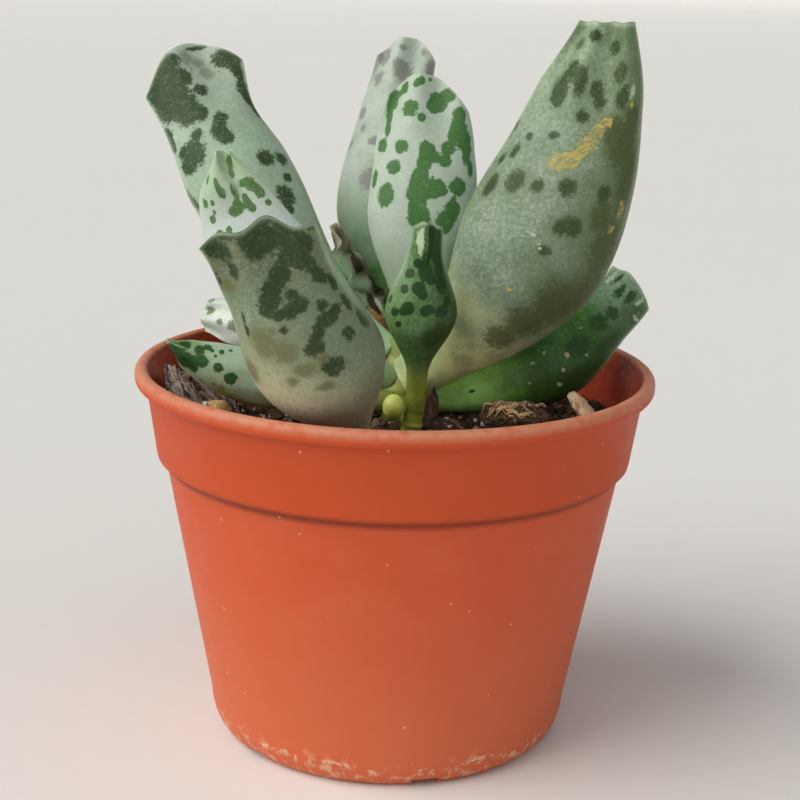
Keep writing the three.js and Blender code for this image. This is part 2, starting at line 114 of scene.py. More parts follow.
# Leaves: the centre line, the way the broad side faces, widths and thickness as in the CAD model.
# A mark is (share along, share across with the viewer's left positive, size) and a length if it isn't round.
# A flap is (height, start along, its edge's place across at the start, the same at the tip).
LEAF_DEFAULTS = {
    "stalk": 0.1,
    "round": 1,
    "slant": 0,
    "wave": 0.4,
    "waves": 2,
    "crinkle": 0.12,
    "scallops": 9,
    "flap": None,
    "pale": [],
    "brown": [],
    "scar": [],
    "foot_to": 0.42,
    "under_reach": 0.4,
    "crumple": 0,
    "back_marks": 10,
    "softness": 0.14,
    "bloom": 0.3,
    "edge": 0.6,
    # How strongly the side away from the key light is darkened as painted shade
    "shaded_side": 0,
    "dark_rim": 0,
    "roughness": 0.5,
    "pressed_by": [],
}
LEAVES = {
    "leaf_back_left": {
        "base": (-0.8, -2.6, 64.4),
        "bend": (-24.1, 6, 80.3),
        "tip": (-34.9, 15, 106.2),
        "face": (0.35, -1, 0.25),
        "neck": 4.5,
        "belly": 18.5,
        "belly_at": 0.68,
        "waist": 15.8,
        "tip_width": 17.5,
        "thickness": 12,
        "round": 6,
        "slant": -0.8,
        "wave": 0.9,
        "waves": 1.7,
        "colours": {"blade": "9CB49C", "shade": "8FA892", "foot": "B8DCB4", "spot": "2A3F1A", "tip": "AFBCAE", "stain": "7D8872"},
        "softness": 0.26,
        "bloom": 0.42,
        "dark": [
            (0.98, 0.42, 3.6, 3.2), (1, 0.71, 3.4, 4.4), (0.93, 0.48, 5, 4.6), (0.92, 0.22, 2.3), (0.99, 0.91, 2, 2.6),
            (0.95, 0.77, 3.8), (0.88, 0.47, 4.6, 4), (0.9, 0.75, 4, 3.6), (0.84, 0.44, 4.3, 3.6), (0.82, 0.21, 2, 2.6),
            (0.87, 0, 2.3), (0.99, -0.31, 4.4, 0.9), (0.97, -0.69, 3.6, 3.6), (0.98, -0.83, 2.8, 4), (0.94, -0.87, 1.8, 2.8),
            (0.89, -0.87, 2, 3), (0.86, -0.89, 1.7, 2.3), (0.83, -0.94, 1.3, 3.3), (0.79, -0.12, 2.3), (0.76, 0.05, 2.9, 3.3),
            (0.74, 0, 2.3), (0.79, 0.47, 2), (0.87, 0.95, 1.2, 3), (0.84, 0.96, 1.2, 2.6), (0.76, 0.68, 4.3), (0.79, 0.81, 2),
            (0.75, 0.84, 2.6), (0.66, -0.45, 2.9), (0.65, -0.75, 2.4), (0.59, -0.66, 1.6), (0.54, -0.44, 2.9, 3.6),
            (0.5, -0.34, 1.6, 2), (0.69, 0.99, 0.9, 3), (0.66, 0.97, 0.9, 2.6),
        ],
        "brown": [
            (0.91, -0.28, 2.6, 2.3), (0.94, -0.19, 2.3, 2), (0.96, 0.05, 3),
        ],
    },
    "leaf_left_mid": {
        "base": (-0.6, -4.4, 60.4),
        "bend": (-23.7, -10.8, 75.8),
        "tip": (-27.4, -8.5, 95.9),
        "face": (-0.2, -1, 0.1),
        "neck": 4,
        "belly": 17.5,
        "belly_at": 0.48,
        "waist": 10.8,
        "tip_width": 3.1,
        "thickness": 11,
        "round": 0.84,
        "flap": (1.6, 0.76, -0.55, 0.1),
        "pressed_by": ["leaf_back_left", "leaf_right_big", "leaf_far_left"],
        "colours": {"blade": "CCD6D4", "shade": "B0C2B2", "foot": "9CBB8E", "spot": "4B7636", "tip": "A2BA8C"},
        "bloom": 0.25,
        "dark": [
            (0.94, -0.3, 0.8, 2.4), (0.91, -0.24, 0.8, 2.2), (0.86, -0.24, 1.1, 2.8), (0.8, -0.19, 1.5, 2.1), (0.79, -0.05, 1.9, 1.5),
            (0.88, -0.6, 2.2, 1.3), (0.86, -0.7, 1.9, 1.5), (0.83, -0.79, 1.5, 1.8), (0.78, -0.82, 1), (0.81, -0.42, 1.1, 3),
            (0.78, -0.47, 1, 1.4), (0.79, 0.57, 1.1, 1.3), (0.74, 0.47, 1.4, 1.1), (0.89, 0.19, 0.8, 2.6), (0.92, 0.56, 0.7, 2.4),
            (0.85, 0.72, 1.2, 1.6), (0.84, 0.45, 0.9, 0.9), (0.86, 0.1, 1, 1.8), (0.74, 0.22, 1.1), (0.81, 0.47, 0.6, 0.8), (0.97, -0.4, 1, 1.6),
            (0.7, -0.6, 1.2, 1.6), (0.69, 0.1, 1.2),
        ],
    },
    "leaf_front_left": {
        "base": (-3.8, -15.5, 50),
        "bend": (-10.7, -32, 68.8),
        "tip": (-19, -43.5, 89.1),
        "face": (0.1, -0.8, -0.6),
        "neck": 3.4,
        "belly": 20.1,
        "belly_at": 0.53,
        "waist": 15.8,
        "tip_width": 16.3,
        "thickness": 15,
        "slant": 0.72,
        "round": 2.2,
        "wave": 1.1,
        "waves": 2,
        "crinkle": 0.22,
        "foot_to": 0.62,
        # The foot and underside colours are brightened as painted light; the shaded-side colour is painted shade
        "colours": {"blade": "708A69", "shade": "8B8B66", "foot": "F2E8BE", "spot": "2C4020", "under": "E8DEB8", "tip": "5A6A48", "stain": "6C6C46", "shaded_side": "65755C"},
        "softness": 0.32,
        "bloom": 0.36,
        "shaded_side": 0.6,
        "dark_rim": 0.75,
        "edge": 0.35,
        "dark": [
            (1.02, 0.76, 2.6, 3), (1.03, 0.48, 3.8, 4), (0.97, 0.81, 2.4, 2.2), (1.03, 0.31, 1.8, 2), (0.95, 0.63, 2.7),
            (1.03, -0.14, 4, 4), (1.03, -0.5, 3.6, 4), (0.97, 0.09, 2.9, 3.5), (0.95, -0.16, 4), (0.96, -0.5, 3.5, 3.2),
            (0.94, 0.07, 2.1), (0.97, -0.69, 2.5, 3.5), (0.95, -0.8, 1.7, 2.3), (0.92, -0.54, 3, 2.7), (0.9, -0.6, 2.4, 3),
            (0.89, -0.31, 2, 2.4), (0.86, -0.16, 2.8), (0.84, 0.02, 2.8, 2.5), (0.82, 0.12, 2.8), (0.79, 0.26, 2.5, 2.2),
            (0.77, 0.12, 1.7), (0.9, 0.59, 1.9, 2.7), (0.81, -0.24, 1.5), (0.78, -0.26, 3, 2.2), (0.77, -0.07, 2.5, 1.9),
            (0.76, -0.6, 1.6), (0.73, -0.75, 1.7), (0.72, -0.64, 2), (0.72, -0.53, 2), (0.7, -0.39, 2), (0.68, -0.28, 1.9),
            (0.66, -0.29, 1.7), (0.66, -0.17, 1.9), (0.65, -0.74, 1.7, 2), (0.65, -0.96, 1.4, 3.7), (0.88, -0.74, 1.6, 2.4),
            (0.85, -0.77, 1.9, 2.2), (0.83, -0.82, 1.4, 1.6), (0.8, -0.9, 1, 3), (0.73, -0.91, 1.1, 3.3), (0.73, 0.1, 1.3),
            (0.73, 0.74, 0.7, 3), (0.77, 0.74, 0.7, 2.2), (0.89, 0.97, 0.8, 3.3), (0.59, -0.37, 3.2, 2.6),
        ],
        "brown": [
            (0.86, 0.82, 2.4, 2.2), (0.73, 0.29, 1.2), (0.61, 0.03, 3.6, 2.5), (0.58, 0.28, 1.8), (0.54, -0.17, 2.8, 1.7),
            (0.7, 0.53, 4.2, 5.6), (0.67, 0.21, 4), (0.59, 0.87, 2.9, 4.3), (0.62, -0.3, 2, 4),
        ],
    },
    "leaf_low_left": {
        "base": (-0.5, -6.6, 57),
        "bend": (-26.6, -12.5, 61),
        "tip": (-34.7, -13, 67.1),
        "face": (-0.3, -1, 0.3),
        "neck": 3.4,
        "belly": 8.8,
        "belly_at": 0.5,
        "waist": 5,
        "tip_width": 1,
        "thickness": 8,
        "round": 1,
        "flap": (1, 0.8, -0.4, -0.1),
        "crinkle": 0.1,
        "colours": {"blade": "A2BCA3", "shade": "93A56C", "under": "A39656", "tip": "3E6E2C", "foot": "8E9A50", "spot": "1B4A10", "stain": "7E6F3C"},
        "bloom": 0.2,
        "roughness": 0.42,
        "dark": [
            (0.77, 0, 1.8), (0.69, -0.02, 1.4), (0.62, 0.22, 1.9), (0.78, -0.74, 1.1), (0.75, -0.64, 0.6),
            (0.7, -0.67, 0.8), (0.66, -0.8, 0.6), (0.72, -0.44, 0.5), (0.81, -0.5, 1.5), (0.83, 0.29, 2.2),
            (0.86, 0.5, 2), (0.93, 0.24, 2), (0.93, 0.7, 2), (0.97, 0.1, 1.2), (0.91, -0.6, 1.7), (0.88, 0.5, 2.4),
            (0.8, 0.5, 1.5),
        ],
        "brown": [(0.74, 0.87, 0.9), (0.68, 0.71, 0.9), (0.64, 0.7, 1.1), (0.6, 0.95, 2.5, 8)],
    },
    "leaf_far_left": {
        "base": (-0.5, -3.2, 57.2),
        "bend": (-17.4, 3, 66.5),
        "tip": (-31.4, 6, 67.8),
        "face": (-0.3, -1, 0.3),
        "neck": 3.4,
        "belly": 8,
        "belly_at": 0.6,
        "waist": 7.5,
        "tip_width": 5.6,
        "thickness": 7,
        "round": 1.1,
        "wave": 0.5,
        "colours": {"blade": "E6EEE8", "shade": "AABCA6", "foot": "7F8F55", "spot": "6E8664"},
        "softness": 0.3,
        "bloom": 0.3,
        "dark": [(0.96, -0.29, 1.4), (0.89, 0.19, 1), (0.81, 0.19, 2), (0.76, 0.3, 1.6), (0.99, -0.9, 1)],
    },
    "leaf_back_mid": {
        "base": (0.8, -0.4, 65.5),
        "bend": (-5.4, 18, 83.8),
        "tip": (0.3, 25, 109.8),
        "face": (-0.1, -1, 0.15),
        "neck": 3,
        "belly": 16.8,
        "belly_at": 0.5,
        "waist": 11.3,
        "tip_width": 10.1,
        "thickness": 10.5,
        "slant": -0.48,
        "round": 3.7,
        "wave": 0.7,
        "pressed_by": ["leaf_back_left"],
        "colours": {"blade": "B7C3B8", "shade": "90A693", "foot": "477430", "spot": "868984"},
        "softness": 0.34,
        "foot_to": 0.66,
        "bloom": 0.2,
        "dark": [
            (0.97, 0.68, 2.1, 3.1), (0.97, 0.14, 1.4, 0.9), (0.9, -0.02, 3.4), (0.92, 0.17, 1.7), (0.9, 0.69, 1.4, 2.8),
            (0.8, 0.87, 1.4, 2.1), (0.74, 0.71, 1, 1.4), (0.69, 0.34, 1.7), (0.7, 0.93, 0.9, 1.7), (0.56, 0.34, 2.6, 3.6),
            (0.96, -0.89, 2.1, 3), (0.99, -0.6, 1.4), (0.93, -0.97, 1.6, 3),
        ],
    },
    "leaf_centre": {
        "base": (1, -3.8, 63.5),
        "bend": (4, 0.4, 82.8),
        "tip": (4.2, 5.4, 103.8),
        "face": (0, -1, 0.1),
        "neck": 2.6,
        "belly": 17.5,
        "belly_at": 0.59,
        "waist": 15.7,
        "tip_width": 13,
        "thickness": 9,
        "round": 4.5,
        "slant": 1.2,
        "wave": 0.8,
        "pressed_by": ["leaf_back_mid", "leaf_right_big"],
        "colours": {"blade": "B7C6BA", "shade": "A2B7A0", "foot": "AEC088", "spot": "3A6E2C"},
        "bloom": 0.2,
        "dark": [
            (0.97, 0.57, 1.6, 2), (0.98, 0.87, 2.3), (0.94, 0.81, 1.6, 2), (0.9, 0.81, 1, 2.9), (0.85, 0.8, 0.9, 2.3),
            (0.97, 0.31, 1, 1.4), (0.98, 0.17, 1.1, 1.6), (0.99, -0.02, 0.7), (0.89, 0.39, 2.6), (0.86, 0.12, 1.4),
            (0.92, -0.2, 3), (0.9, -0.1, 2.2), (0.97, -0.48, 2.4), (0.93, -0.69, 2.1), (0.88, -0.64, 2.4, 3.2),
            (0.85, -0.69, 2.8, 3.5), (0.82, -0.8, 1.6, 4.2), (0.84, -0.54, 1.9), (0.76, -0.87, 1, 2.8), (0.78, 0.49, 2.1),
            (0.8, 0.87, 1.5, 2.3), (0.72, 0.6, 2.2), (0.69, 0.93, 1, 2.9), (0.63, 0.69, 2.7, 3.5), (0.77, 0, 2.5),
            (0.76, -0.05, 2.3), (0.73, 0.02, 2.3), (0.7, 0.09, 2.3), (0.67, 0.12, 2.7), (0.64, 0.14, 2.9), (0.61, 0.09, 2.6),
            (0.57, 0.07, 2.9), (0.55, 0.02, 2.9), (0.66, -0.16, 3.2), (0.66, -0.29, 2.3), (0.75, -0.36, 2.1), (0.75, -0.17, 1.5),
            (0.79, -0.42, 2.1), (0.68, -0.63, 2.6, 2.9), (0.6, -0.56, 2.3, 3.5), (0.55, -0.44, 3, 3.4),
        ],
    },
    "leaf_right_big": {
        "base": (1.8, -4.4, 60.5),
        "bend": (24.7, -9, 74.9),
        "tip": (30.5, -9, 117.6),
        "face": (-0.3, -1, 0.15),
        "neck": 7.6,
        "belly": 24.5,
        "belly_at": 0.55,
        "waist": 16.7,
        "tip_width": 8.6,
        "thickness": 19,
        "round": -0.07,
        "slant": -0.51,
        "wave": 1,
        "foot_to": 0.44,
        # The foot colour is brightened as painted light with a painted highlight; the underside and shaded-side colours
        # are painted shade
        "colours": {"blade": "82957F", "shade": "667D5E", "under": "60702F", "shaded_side": "4E6338", "foot": "F0FAB4", "spot": "35471F", "tip": "8EA682", "stain": "424E1E"},
        "softness": 0.34,
        "bloom": 0.42,
        "shaded_side": 0.75,
        "under_reach": 0.33,
        "dark": [
            (0.96, -0.41, 1.8, 2.1), (0.91, 0.38, 3.6, 2.7), (0.87, 0.5, 3, 4.6), (0.89, 0.16, 1.8, 4.2), (0.85, 0.45, 2.4, 2.4),
            (0.88, -0.18, 2, 3.2), (0.86, -0.28, 1.8, 2.1), (0.92, -0.57, 1.7, 3.4), (0.88, -0.66, 1.8, 3.6), (0.98, 0.21, 2.1, 1.8),
            (0.83, -0.07, 1.9), (0.78, 0.26, 1.5, 1.3), (0.76, 0.63, 1.2), (0.72, 0.72, 1.4, 2.5), (0.69, 0.85, 1.2, 2),
            (0.62, 0.77, 2.3, 4), (0.66, 0.48, 2.8, 3.7), (0.67, 0.17, 1.8, 2.1), (0.69, -0.22, 2.5, 2.6), (0.7, -0.68, 1.8, 2.8),
            (0.62, -0.46, 3, 2.8), (0.61, -0.34, 2.2), (0.55, -0.29, 1.9, 1.6),
            (0.77, 0.96, 0.9, 2.8),
        ],
        # Brown marks: olive stains, and along the right flank partly painted shade on the side away from the light
        "brown": [
            (0.96, 0.56, 2.4, 1.8),
            (0.79, -0.75, 4.5, 7.5), (0.82, -0.58, 3, 4.5), (0.74, -0.92, 4.5, 11), (0.84, -0.85, 2.4, 7), (0.66, -0.72, 3.4, 5),
            (0.6, -0.9, 6, 10), (0.5, -0.95, 7), (0.46, -0.78, 8, 9), (0.38, -0.66, 6.5, 6), (0.31, -0.6, 5),
        ],
        "scar": [
            (0.725, 0.1, 2, 1.7), (0.735, 0.02, 2.3), (0.74, -0.07, 2.4), (0.745, -0.15, 2.3), (0.77, -0.22, 2.1),
            (0.785, -0.29, 2), (0.8, -0.35, 1.9), (0.82, -0.41, 1.7), (0.83, -0.47, 1.3), (0.68, -0.92, 1, 3.4),
            (0.64, -0.88, 1, 1.5), (0.87, -0.82, 0.6, 1.6), (0.43, -0.18, 0.9, 0.7), (0.46, -0.24, 0.9, 0.4),
        ],
        "pale": [
            (0.99, 0.02, 2, 0.8), (0.89, -0.82, 0.9, 3), (0.54, 0.1, 0.7, 0.5), (0.56, 0.04, 0.8, 0.5), (0.57, -0.03, 0.8, 0.5),
            (0.57, -0.1, 0.8, 0.5), (0.56, -0.18, 0.5, 0.8), (0.55, -0.24, 0.5, 0.7),
        ],
    },
    "leaf_low_right": {
        "base": (1.5, -5, 57),
        "bend": (25.8, 1, 57.2),
        "tip": (39.5, 12, 73.3),
        "face": (-0.4, -1, 0.2),
        "neck": 4.1,
        "belly": 13.9,
        "belly_at": 0.59,
        "waist": 10.1,
        "tip_width": 9.7,
        "thickness": 10.5,
        "round": 1.6,
        "slant": 1.7,
        "wave": 0.3,
        "crinkle": 0.06,
        "pressed_by": ["leaf_right_big"],
        "foot_to": 0.5,
        # The foot colour is brightened as painted light; the shaded-side colour is painted shade
        "colours": {"blade": "417A2A", "shaded_side": "26440F", "shade": "35551F", "foot": "B4EE80", "spot": "2C4A1E", "tip": "93AE94", "stain": "8A8458"},
        "softness": 0.36,
        "bloom": 0.14,
        "shaded_side": 0.7,
        "roughness": 0.36,
        "dark": [
            (0.94, -0.24, 1.4, 3.4), (0.91, 0.14, 1.4, 2.4), (0.84, -0.17, 2.3), (0.77, -0.09, 2.7, 3.3), (0.65, -0.22, 3, 4.9),
            (0.22, -0.05, 0.5, 1.3), (0.6, -0.75, 2.4, 8), (0.75, -0.7, 2, 7), (0.93, 0.14, 0.8, 3.4), (0.96, 0.5, 0.8, 3),
        ],
        "pale": [
            (0.59, -0.22, 0.9), (0.55, -0.47, 0.8), (0.52, 0.14, 0.6), (0.52, -0.69, 1.2, 0.7), (0.46, 0.05, 0.5),
            (0.66, -0.5, 0.5), (0.42, -0.4, 0.5), (0.7, 0.1, 0.5), (0.97, -0.6, 0.9, 2.4), (0.95, 0.75, 1, 4), (0.93, -0.85, 1.4, 0.8),
        ],
        "brown": [(0.89, 0.47, 0.7), (0.95, -0.81, 0.7)],
    },
    "leaf_front_small": {
        "base": (3.3, -14.6, 57.75),
        "bend": (3.6, -17.5, 74.2),
        "tip": (4.4, -16, 86.8),
        "face": (0.1, -1, 0.1),
        "stalk": 0.2,
        "neck": 2.9,
        "belly": 11.1,
        "belly_at": 0.52,
        "waist": 5.2,
        "tip_width": 4.5,
        "thickness": 8,
        "round": 0.77,
        "wave": 0.4,
        "flap": (1.1, 0.74, 0.02, 0.02),
        "foot_to": 0.3,
        "colours": {"blade": "608650", "shade": "3F6428", "foot": "9CA43C", "spot": "173A0A", "tip": "4F7A3C", "stain": "2B4414", "shaded_side": "2C4412"},
        "bloom": 0.18,
        "shaded_side": 0.9,
        "roughness": 0.4,
        "dark": [
            (0.74, 0.63, 1.5), (0.79, 0.42, 1.3), (0.75, 0.02, 2, 2.7), (0.77, -0.59, 1.4, 2.8), (0.66, 0.66, 1.3), (0.67, 0.22, 1.9),
            (0.64, 0.07, 1.5), (0.69, -0.59, 1.8, 2.5), (0.71, -0.22, 1.3), (0.57, 0.44, 1.9), (0.55, 0.56, 1.2), (0.54, 0.78, 1.3),
            (0.56, -0.03, 1.5), (0.57, -0.17, 1.3), (0.56, -0.53, 2, 1.8), (0.48, 0.68, 0.9), (0.6, 0.95, 0.8, 1.3),
            (0.61, -0.71, 1.3), (0.95, -0.4, 1.6, 3), (0.88, -0.45, 1.5, 4), (0.82, -0.6, 1.2, 3), (0.83, 0, 1.4, 2),
        ],
        "pale": [
            (0.93, 0.5, 1.5, 3), (0.88, 0.42, 1.2, 3),
        ],
        "brown": [
            (0.42, -0.3, 3, 4), (0.46, -0.5, 2, 4.6), (0.6, -0.95, 1.6, 7),
        ],
    },
    "leaf_withered": {
        "base": (0, -1.8, 64.8),
        "bend": (-6.6, 2, 73.4),
        "tip": (-10.2, 5, 82.4),
        "face": (0.2, -1, 0.1),
        "neck": 1.8,
        "belly": 6,
        "belly_at": 0.42,
        "waist": 3,
        "tip_width": 2,
        "thickness": 1.6,
        "round": 1.2,
        "wave": 0.8,
        "crumple": 0.9,
        "pressed_by": ["leaf_back_left", "leaf_back_mid", "leaf_centre"],
        "colours": {"blade": "8DB088", "shade": "6E6450", "shaded_side": "3E2A1E", "foot": "7A5F3C", "spot": "2A1D14", "tip": "CDBDA8", "stain": "B8744A"},
        "bloom": 0.1,
        "shaded_side": 0.95,
        "roughness": 0.75,
        "back_marks": 3,
        "dark": [(0.7, -0.5, 1.4, 3.4), (0.5, -0.9, 1.4, 5), (0.36, -0.2, 1.2, 4)],
        "pale": [(0.34, -0.5, 0.8, 5)],
        "brown": [(0.25, 0.2, 2, 4)],
    },
}
SHEATH = {
    "base": (4.9, -12.8, 54.6),
    "bend": (5.7, -12.6, 57.6),
    "tip": (6, -12.2, 60),
    "face": (0.2, -1, 0.3),
    "neck": 1.8,
    "belly": 3,
    "belly_at": 0.45,
    "waist": 1.9,
    "tip_width": 0.7,
    "thickness": 1.1,
    "back_marks": 0,
    "crinkle": 0.1,
    "crumple": 0.3,
    "dark": [],
}
# Soil banked up against the wall on the left
BANK = {"middle": (-38, -5), "height": 8.2, "reach": 18}
WAIST_AT = 0.87
THICKEST_BEFORE_BELLY = 0.05
WAIST_THICKNESS = 0.38
STALK_SWELL = 1.15
EDGE_SHARPNESS = 0.7
SHARP_FROM = 0.45
TIP_FROM = 0.55
WAVE_FROM = 0.72
CLEARANCE = 0.3
CLUMP_FLATTENED = 0.7


class PotLooks(bpy.types.PropertyGroup):
    segments: IntProperty(name="Segments", description="Sides of the turned pot", default=160, min=24)
    colour: FloatVectorProperty(
        name="Plastic", description="Colour of the pot", subtype="COLOR", default=(0.62, 0.094, 0.033)
    )


class LeafLooks(bpy.types.PropertyGroup):
    rings: IntProperty(name="Rings", description="Rings along each leaf", default=150, min=16)
    sides: IntProperty(name="Sides", description="Points round each ring of a leaf", default=132, min=16)
    spot_size: FloatProperty(
        name="Spot Size", description="Scales every dark spot", default=1.1, min=0.1, subtype="FACTOR"
    )


class SoilLooks(bpy.types.PropertyGroup):
    crumbs: IntProperty(name="Crumbs", description="Crumbs on a square centimetre", default=46, min=1)
    largest: FloatProperty(
        name="Largest Crumb", description="Size of the largest crumb", default=2.6 * MM, unit="LENGTH"
    )


class StageLooks(bpy.types.PropertyGroup):
    light: FloatProperty(name="Key Light", description="Strength of the key light", default=2.5, min=0)
    sky: FloatProperty(name="Fill", description="Strength of the light from all round", default=0.14, min=0)


# Kinds of node that the trees use most, with their settings
MIX = ("ShaderNodeMix", {"data_type": "RGBA"})
RISE = ("ShaderNodeMapRange", {"interpolation_type": "SMOOTHSTEP"})
TIMES = ("ShaderNodeMath", {"operation": "MULTIPLY"})
PLUS = ("ShaderNodeMath", {"operation": "ADD"})
NOISE = ("ShaderNodeTexNoise", {"noise_dimensions": "3D"})
SHADER = ("ShaderNodeBsdfPrincipled", {})
OUTPUT = ("ShaderNodeOutputMaterial", {})


def linear(code):
    """The linear colour of an sRGB hex code."""
    channels = [int(code[i : i + 2], 16) / 255 for i in (0, 2, 4)]
    return (*[c / 12.92 if c <= 0.04045 else ((c + 0.055) / 1.055) ** 2.4 for c in channels], 1.0)


def add(tree, kind, settings=None, inputs=None):
    """Adds a node to a shader or geometry tree, with its settings, its values and its links."""
    node = tree.nodes.new(kind)
    for key, value in (settings or {}).items():
        setattr(node, key, value)
    for key, value in (inputs or {}).items():
        if isinstance(value, bpy.types.Node):
            value = next(socket for socket in value.outputs if socket.enabled)
        if isinstance(value, bpy.types.NodeSocket):
            tree.links.new(value, node.inputs[key])
        else:
            node.inputs[key].default_value = value
    return node


def per_mm(size):
    """The scale of a pattern whose features are this many millimetres wide."""
    return 1 / (size * MM)


def new_material(name):
    """A material with an empty shader tree."""
    material = bpy.data.materials.new(name)
    material.use_nodes = True
    material.node_tree.nodes.clear()
    return material, material.node_tree


def band(tree, value, middle, width):
    """1 where a value is at a middle, and 0 from a width away from it."""
    away = add(tree, "ShaderNodeMath", {"operation": "SUBTRACT"}, {0: value, 1: middle})
    away = add(tree, "ShaderNodeMath", {"operation": "ABSOLUTE"}, {0: away})
    return add(tree, *RISE, {0: away, 1: 0, 2: width, 3: 1, 4: 0})


def new_tree(name, inputs):
    """A geometry tree with named inputs, each given as its kind of socket and its default."""
    tree = bpy.data.node_groups.new(name, "GeometryNodeTree")
    tree.interface.new_socket(name="Geometry", in_out="INPUT", socket_type="NodeSocketGeometry")
    tree.interface.new_socket(name="Geometry", in_out="OUTPUT", socket_type="NodeSocketGeometry")
    for label, (kind, default) in inputs.items():
        socket = tree.interface.new_socket(name=label, in_out="INPUT", socket_type="NodeSocket" + kind)
        if default is not None:
            socket.default_value = default
    return tree, tree.nodes.new("NodeGroupInput").outputs


def end_tree(tree, geometry, material):
    """Ends a geometry tree in plain faces with their material."""
    real = add(tree, "GeometryNodeRealizeInstances", inputs={"Geometry": geometry})
    dressed = add(tree, "GeometryNodeSetMaterial", inputs={"Geometry": real, "Material": material})
    add(tree, "NodeGroupOutput", inputs={"Geometry": dressed})


def new_object(name, mesh):
    piece = bpy.data.objects.new(name, mesh)
    bpy.context.scene.collection.objects.link(piece)
    return piece


def applied(piece):
    """Turns a piece's modifiers into plain faces."""
    depsgraph = bpy.context.evaluated_depsgraph_get()
    evaluated = piece.evaluated_get(depsgraph)
    mesh = bpy.data.meshes.new_from_object(evaluated, preserve_all_data_layers=True, depsgraph=depsgraph)
    piece.modifiers.clear()
    piece.data = mesh
    mesh.name = piece.name
    return piece


def grown_by(tree, name, mesh=None, values=None):
    """Runs a geometry tree on a mesh and keeps what it makes as a plain piece."""
    piece = new_object(name, mesh or bpy.data.meshes.new(name))
    modifier = piece.modifiers.new(name, "NODES")
    modifier.node_group = tree
    sockets = [s for s in tree.interface.items_tree if s.item_type == "SOCKET" and s.in_out == "INPUT"]
    identifiers = {socket.name: socket.identifier for socket in sockets}
    for label, value in (values or {}).items():
        modifier[identifiers[label]] = value
    return applied(piece)


def outward(piece, seams=True):
    """Closes doubled seams and poles where there are any, and turns every face outwards."""
    shell = bmesh.new()
    shell.from_mesh(piece.data)
    if seams:
        bmesh.ops.remove_doubles(shell, verts=shell.verts, dist=1e-6)
        bmesh.ops.dissolve_degenerate(shell, dist=1e-7, edges=shell.edges)
    bmesh.ops.delete(shell, geom=[v for v in shell.verts if not v.link_faces], context="VERTS")
    bmesh.ops.recalc_face_normals(shell, faces=shell.faces)
    shell.to_mesh(piece.data)
    shell.free()
    return piece


def smooth_faces(piece, angle=None):
    """Shades a piece smooth, or smooth up to an angle in degrees."""
    piece.data.shade_smooth()
    if angle is not None:
        piece.data.set_sharp_from_angle(angle=math.radians(angle))
    return piece


def settle(piece, slot, *nodes):
    """Puts a finished piece on the model's one body, in place of the CAD nodes that it stands for."""
    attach(piece, BODY)
    if nodes:
        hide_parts(*nodes)
    return piece


def monotone(knots, x):
    """A smooth line through knots that never swings past them, as the CAD leaves have it."""
    at, to = (np.array(column, float) for column in zip(*knots))
    span = np.diff(at)
    slope = np.diff(to) / span
    before, after = slope[:-1], slope[1:]
    same_way = before * after > 0
    between = np.where(same_way, 2 * before * after / np.where(same_way, before + after, 1), 0)
    tangent = np.concatenate([slope[:1], between, slope[-1:]])
    k = np.clip(np.searchsorted(at, x, side="right") - 1, 0, len(span) - 1)
    u = (x - at[k]) / span[k]
    start = (1 + 2 * u) * (1 - u) ** 2 * to[k] + u * (1 - u) ** 2 * span[k] * tangent[k]
    return start + u * u * (3 - 2 * u) * to[k + 1] + u * u * (u - 1) * span[k] * tangent[k + 1]


def step(low, high, x):
    """0 below low and 1 above high, with a smooth rise between."""
    u = np.clip((x - low) / (high - low), 0, 1)
    return u * u * (3 - 2 * u)


def unit(vectors):
    return vectors / np.linalg.norm(vectors, axis=-1, keepdims=True)


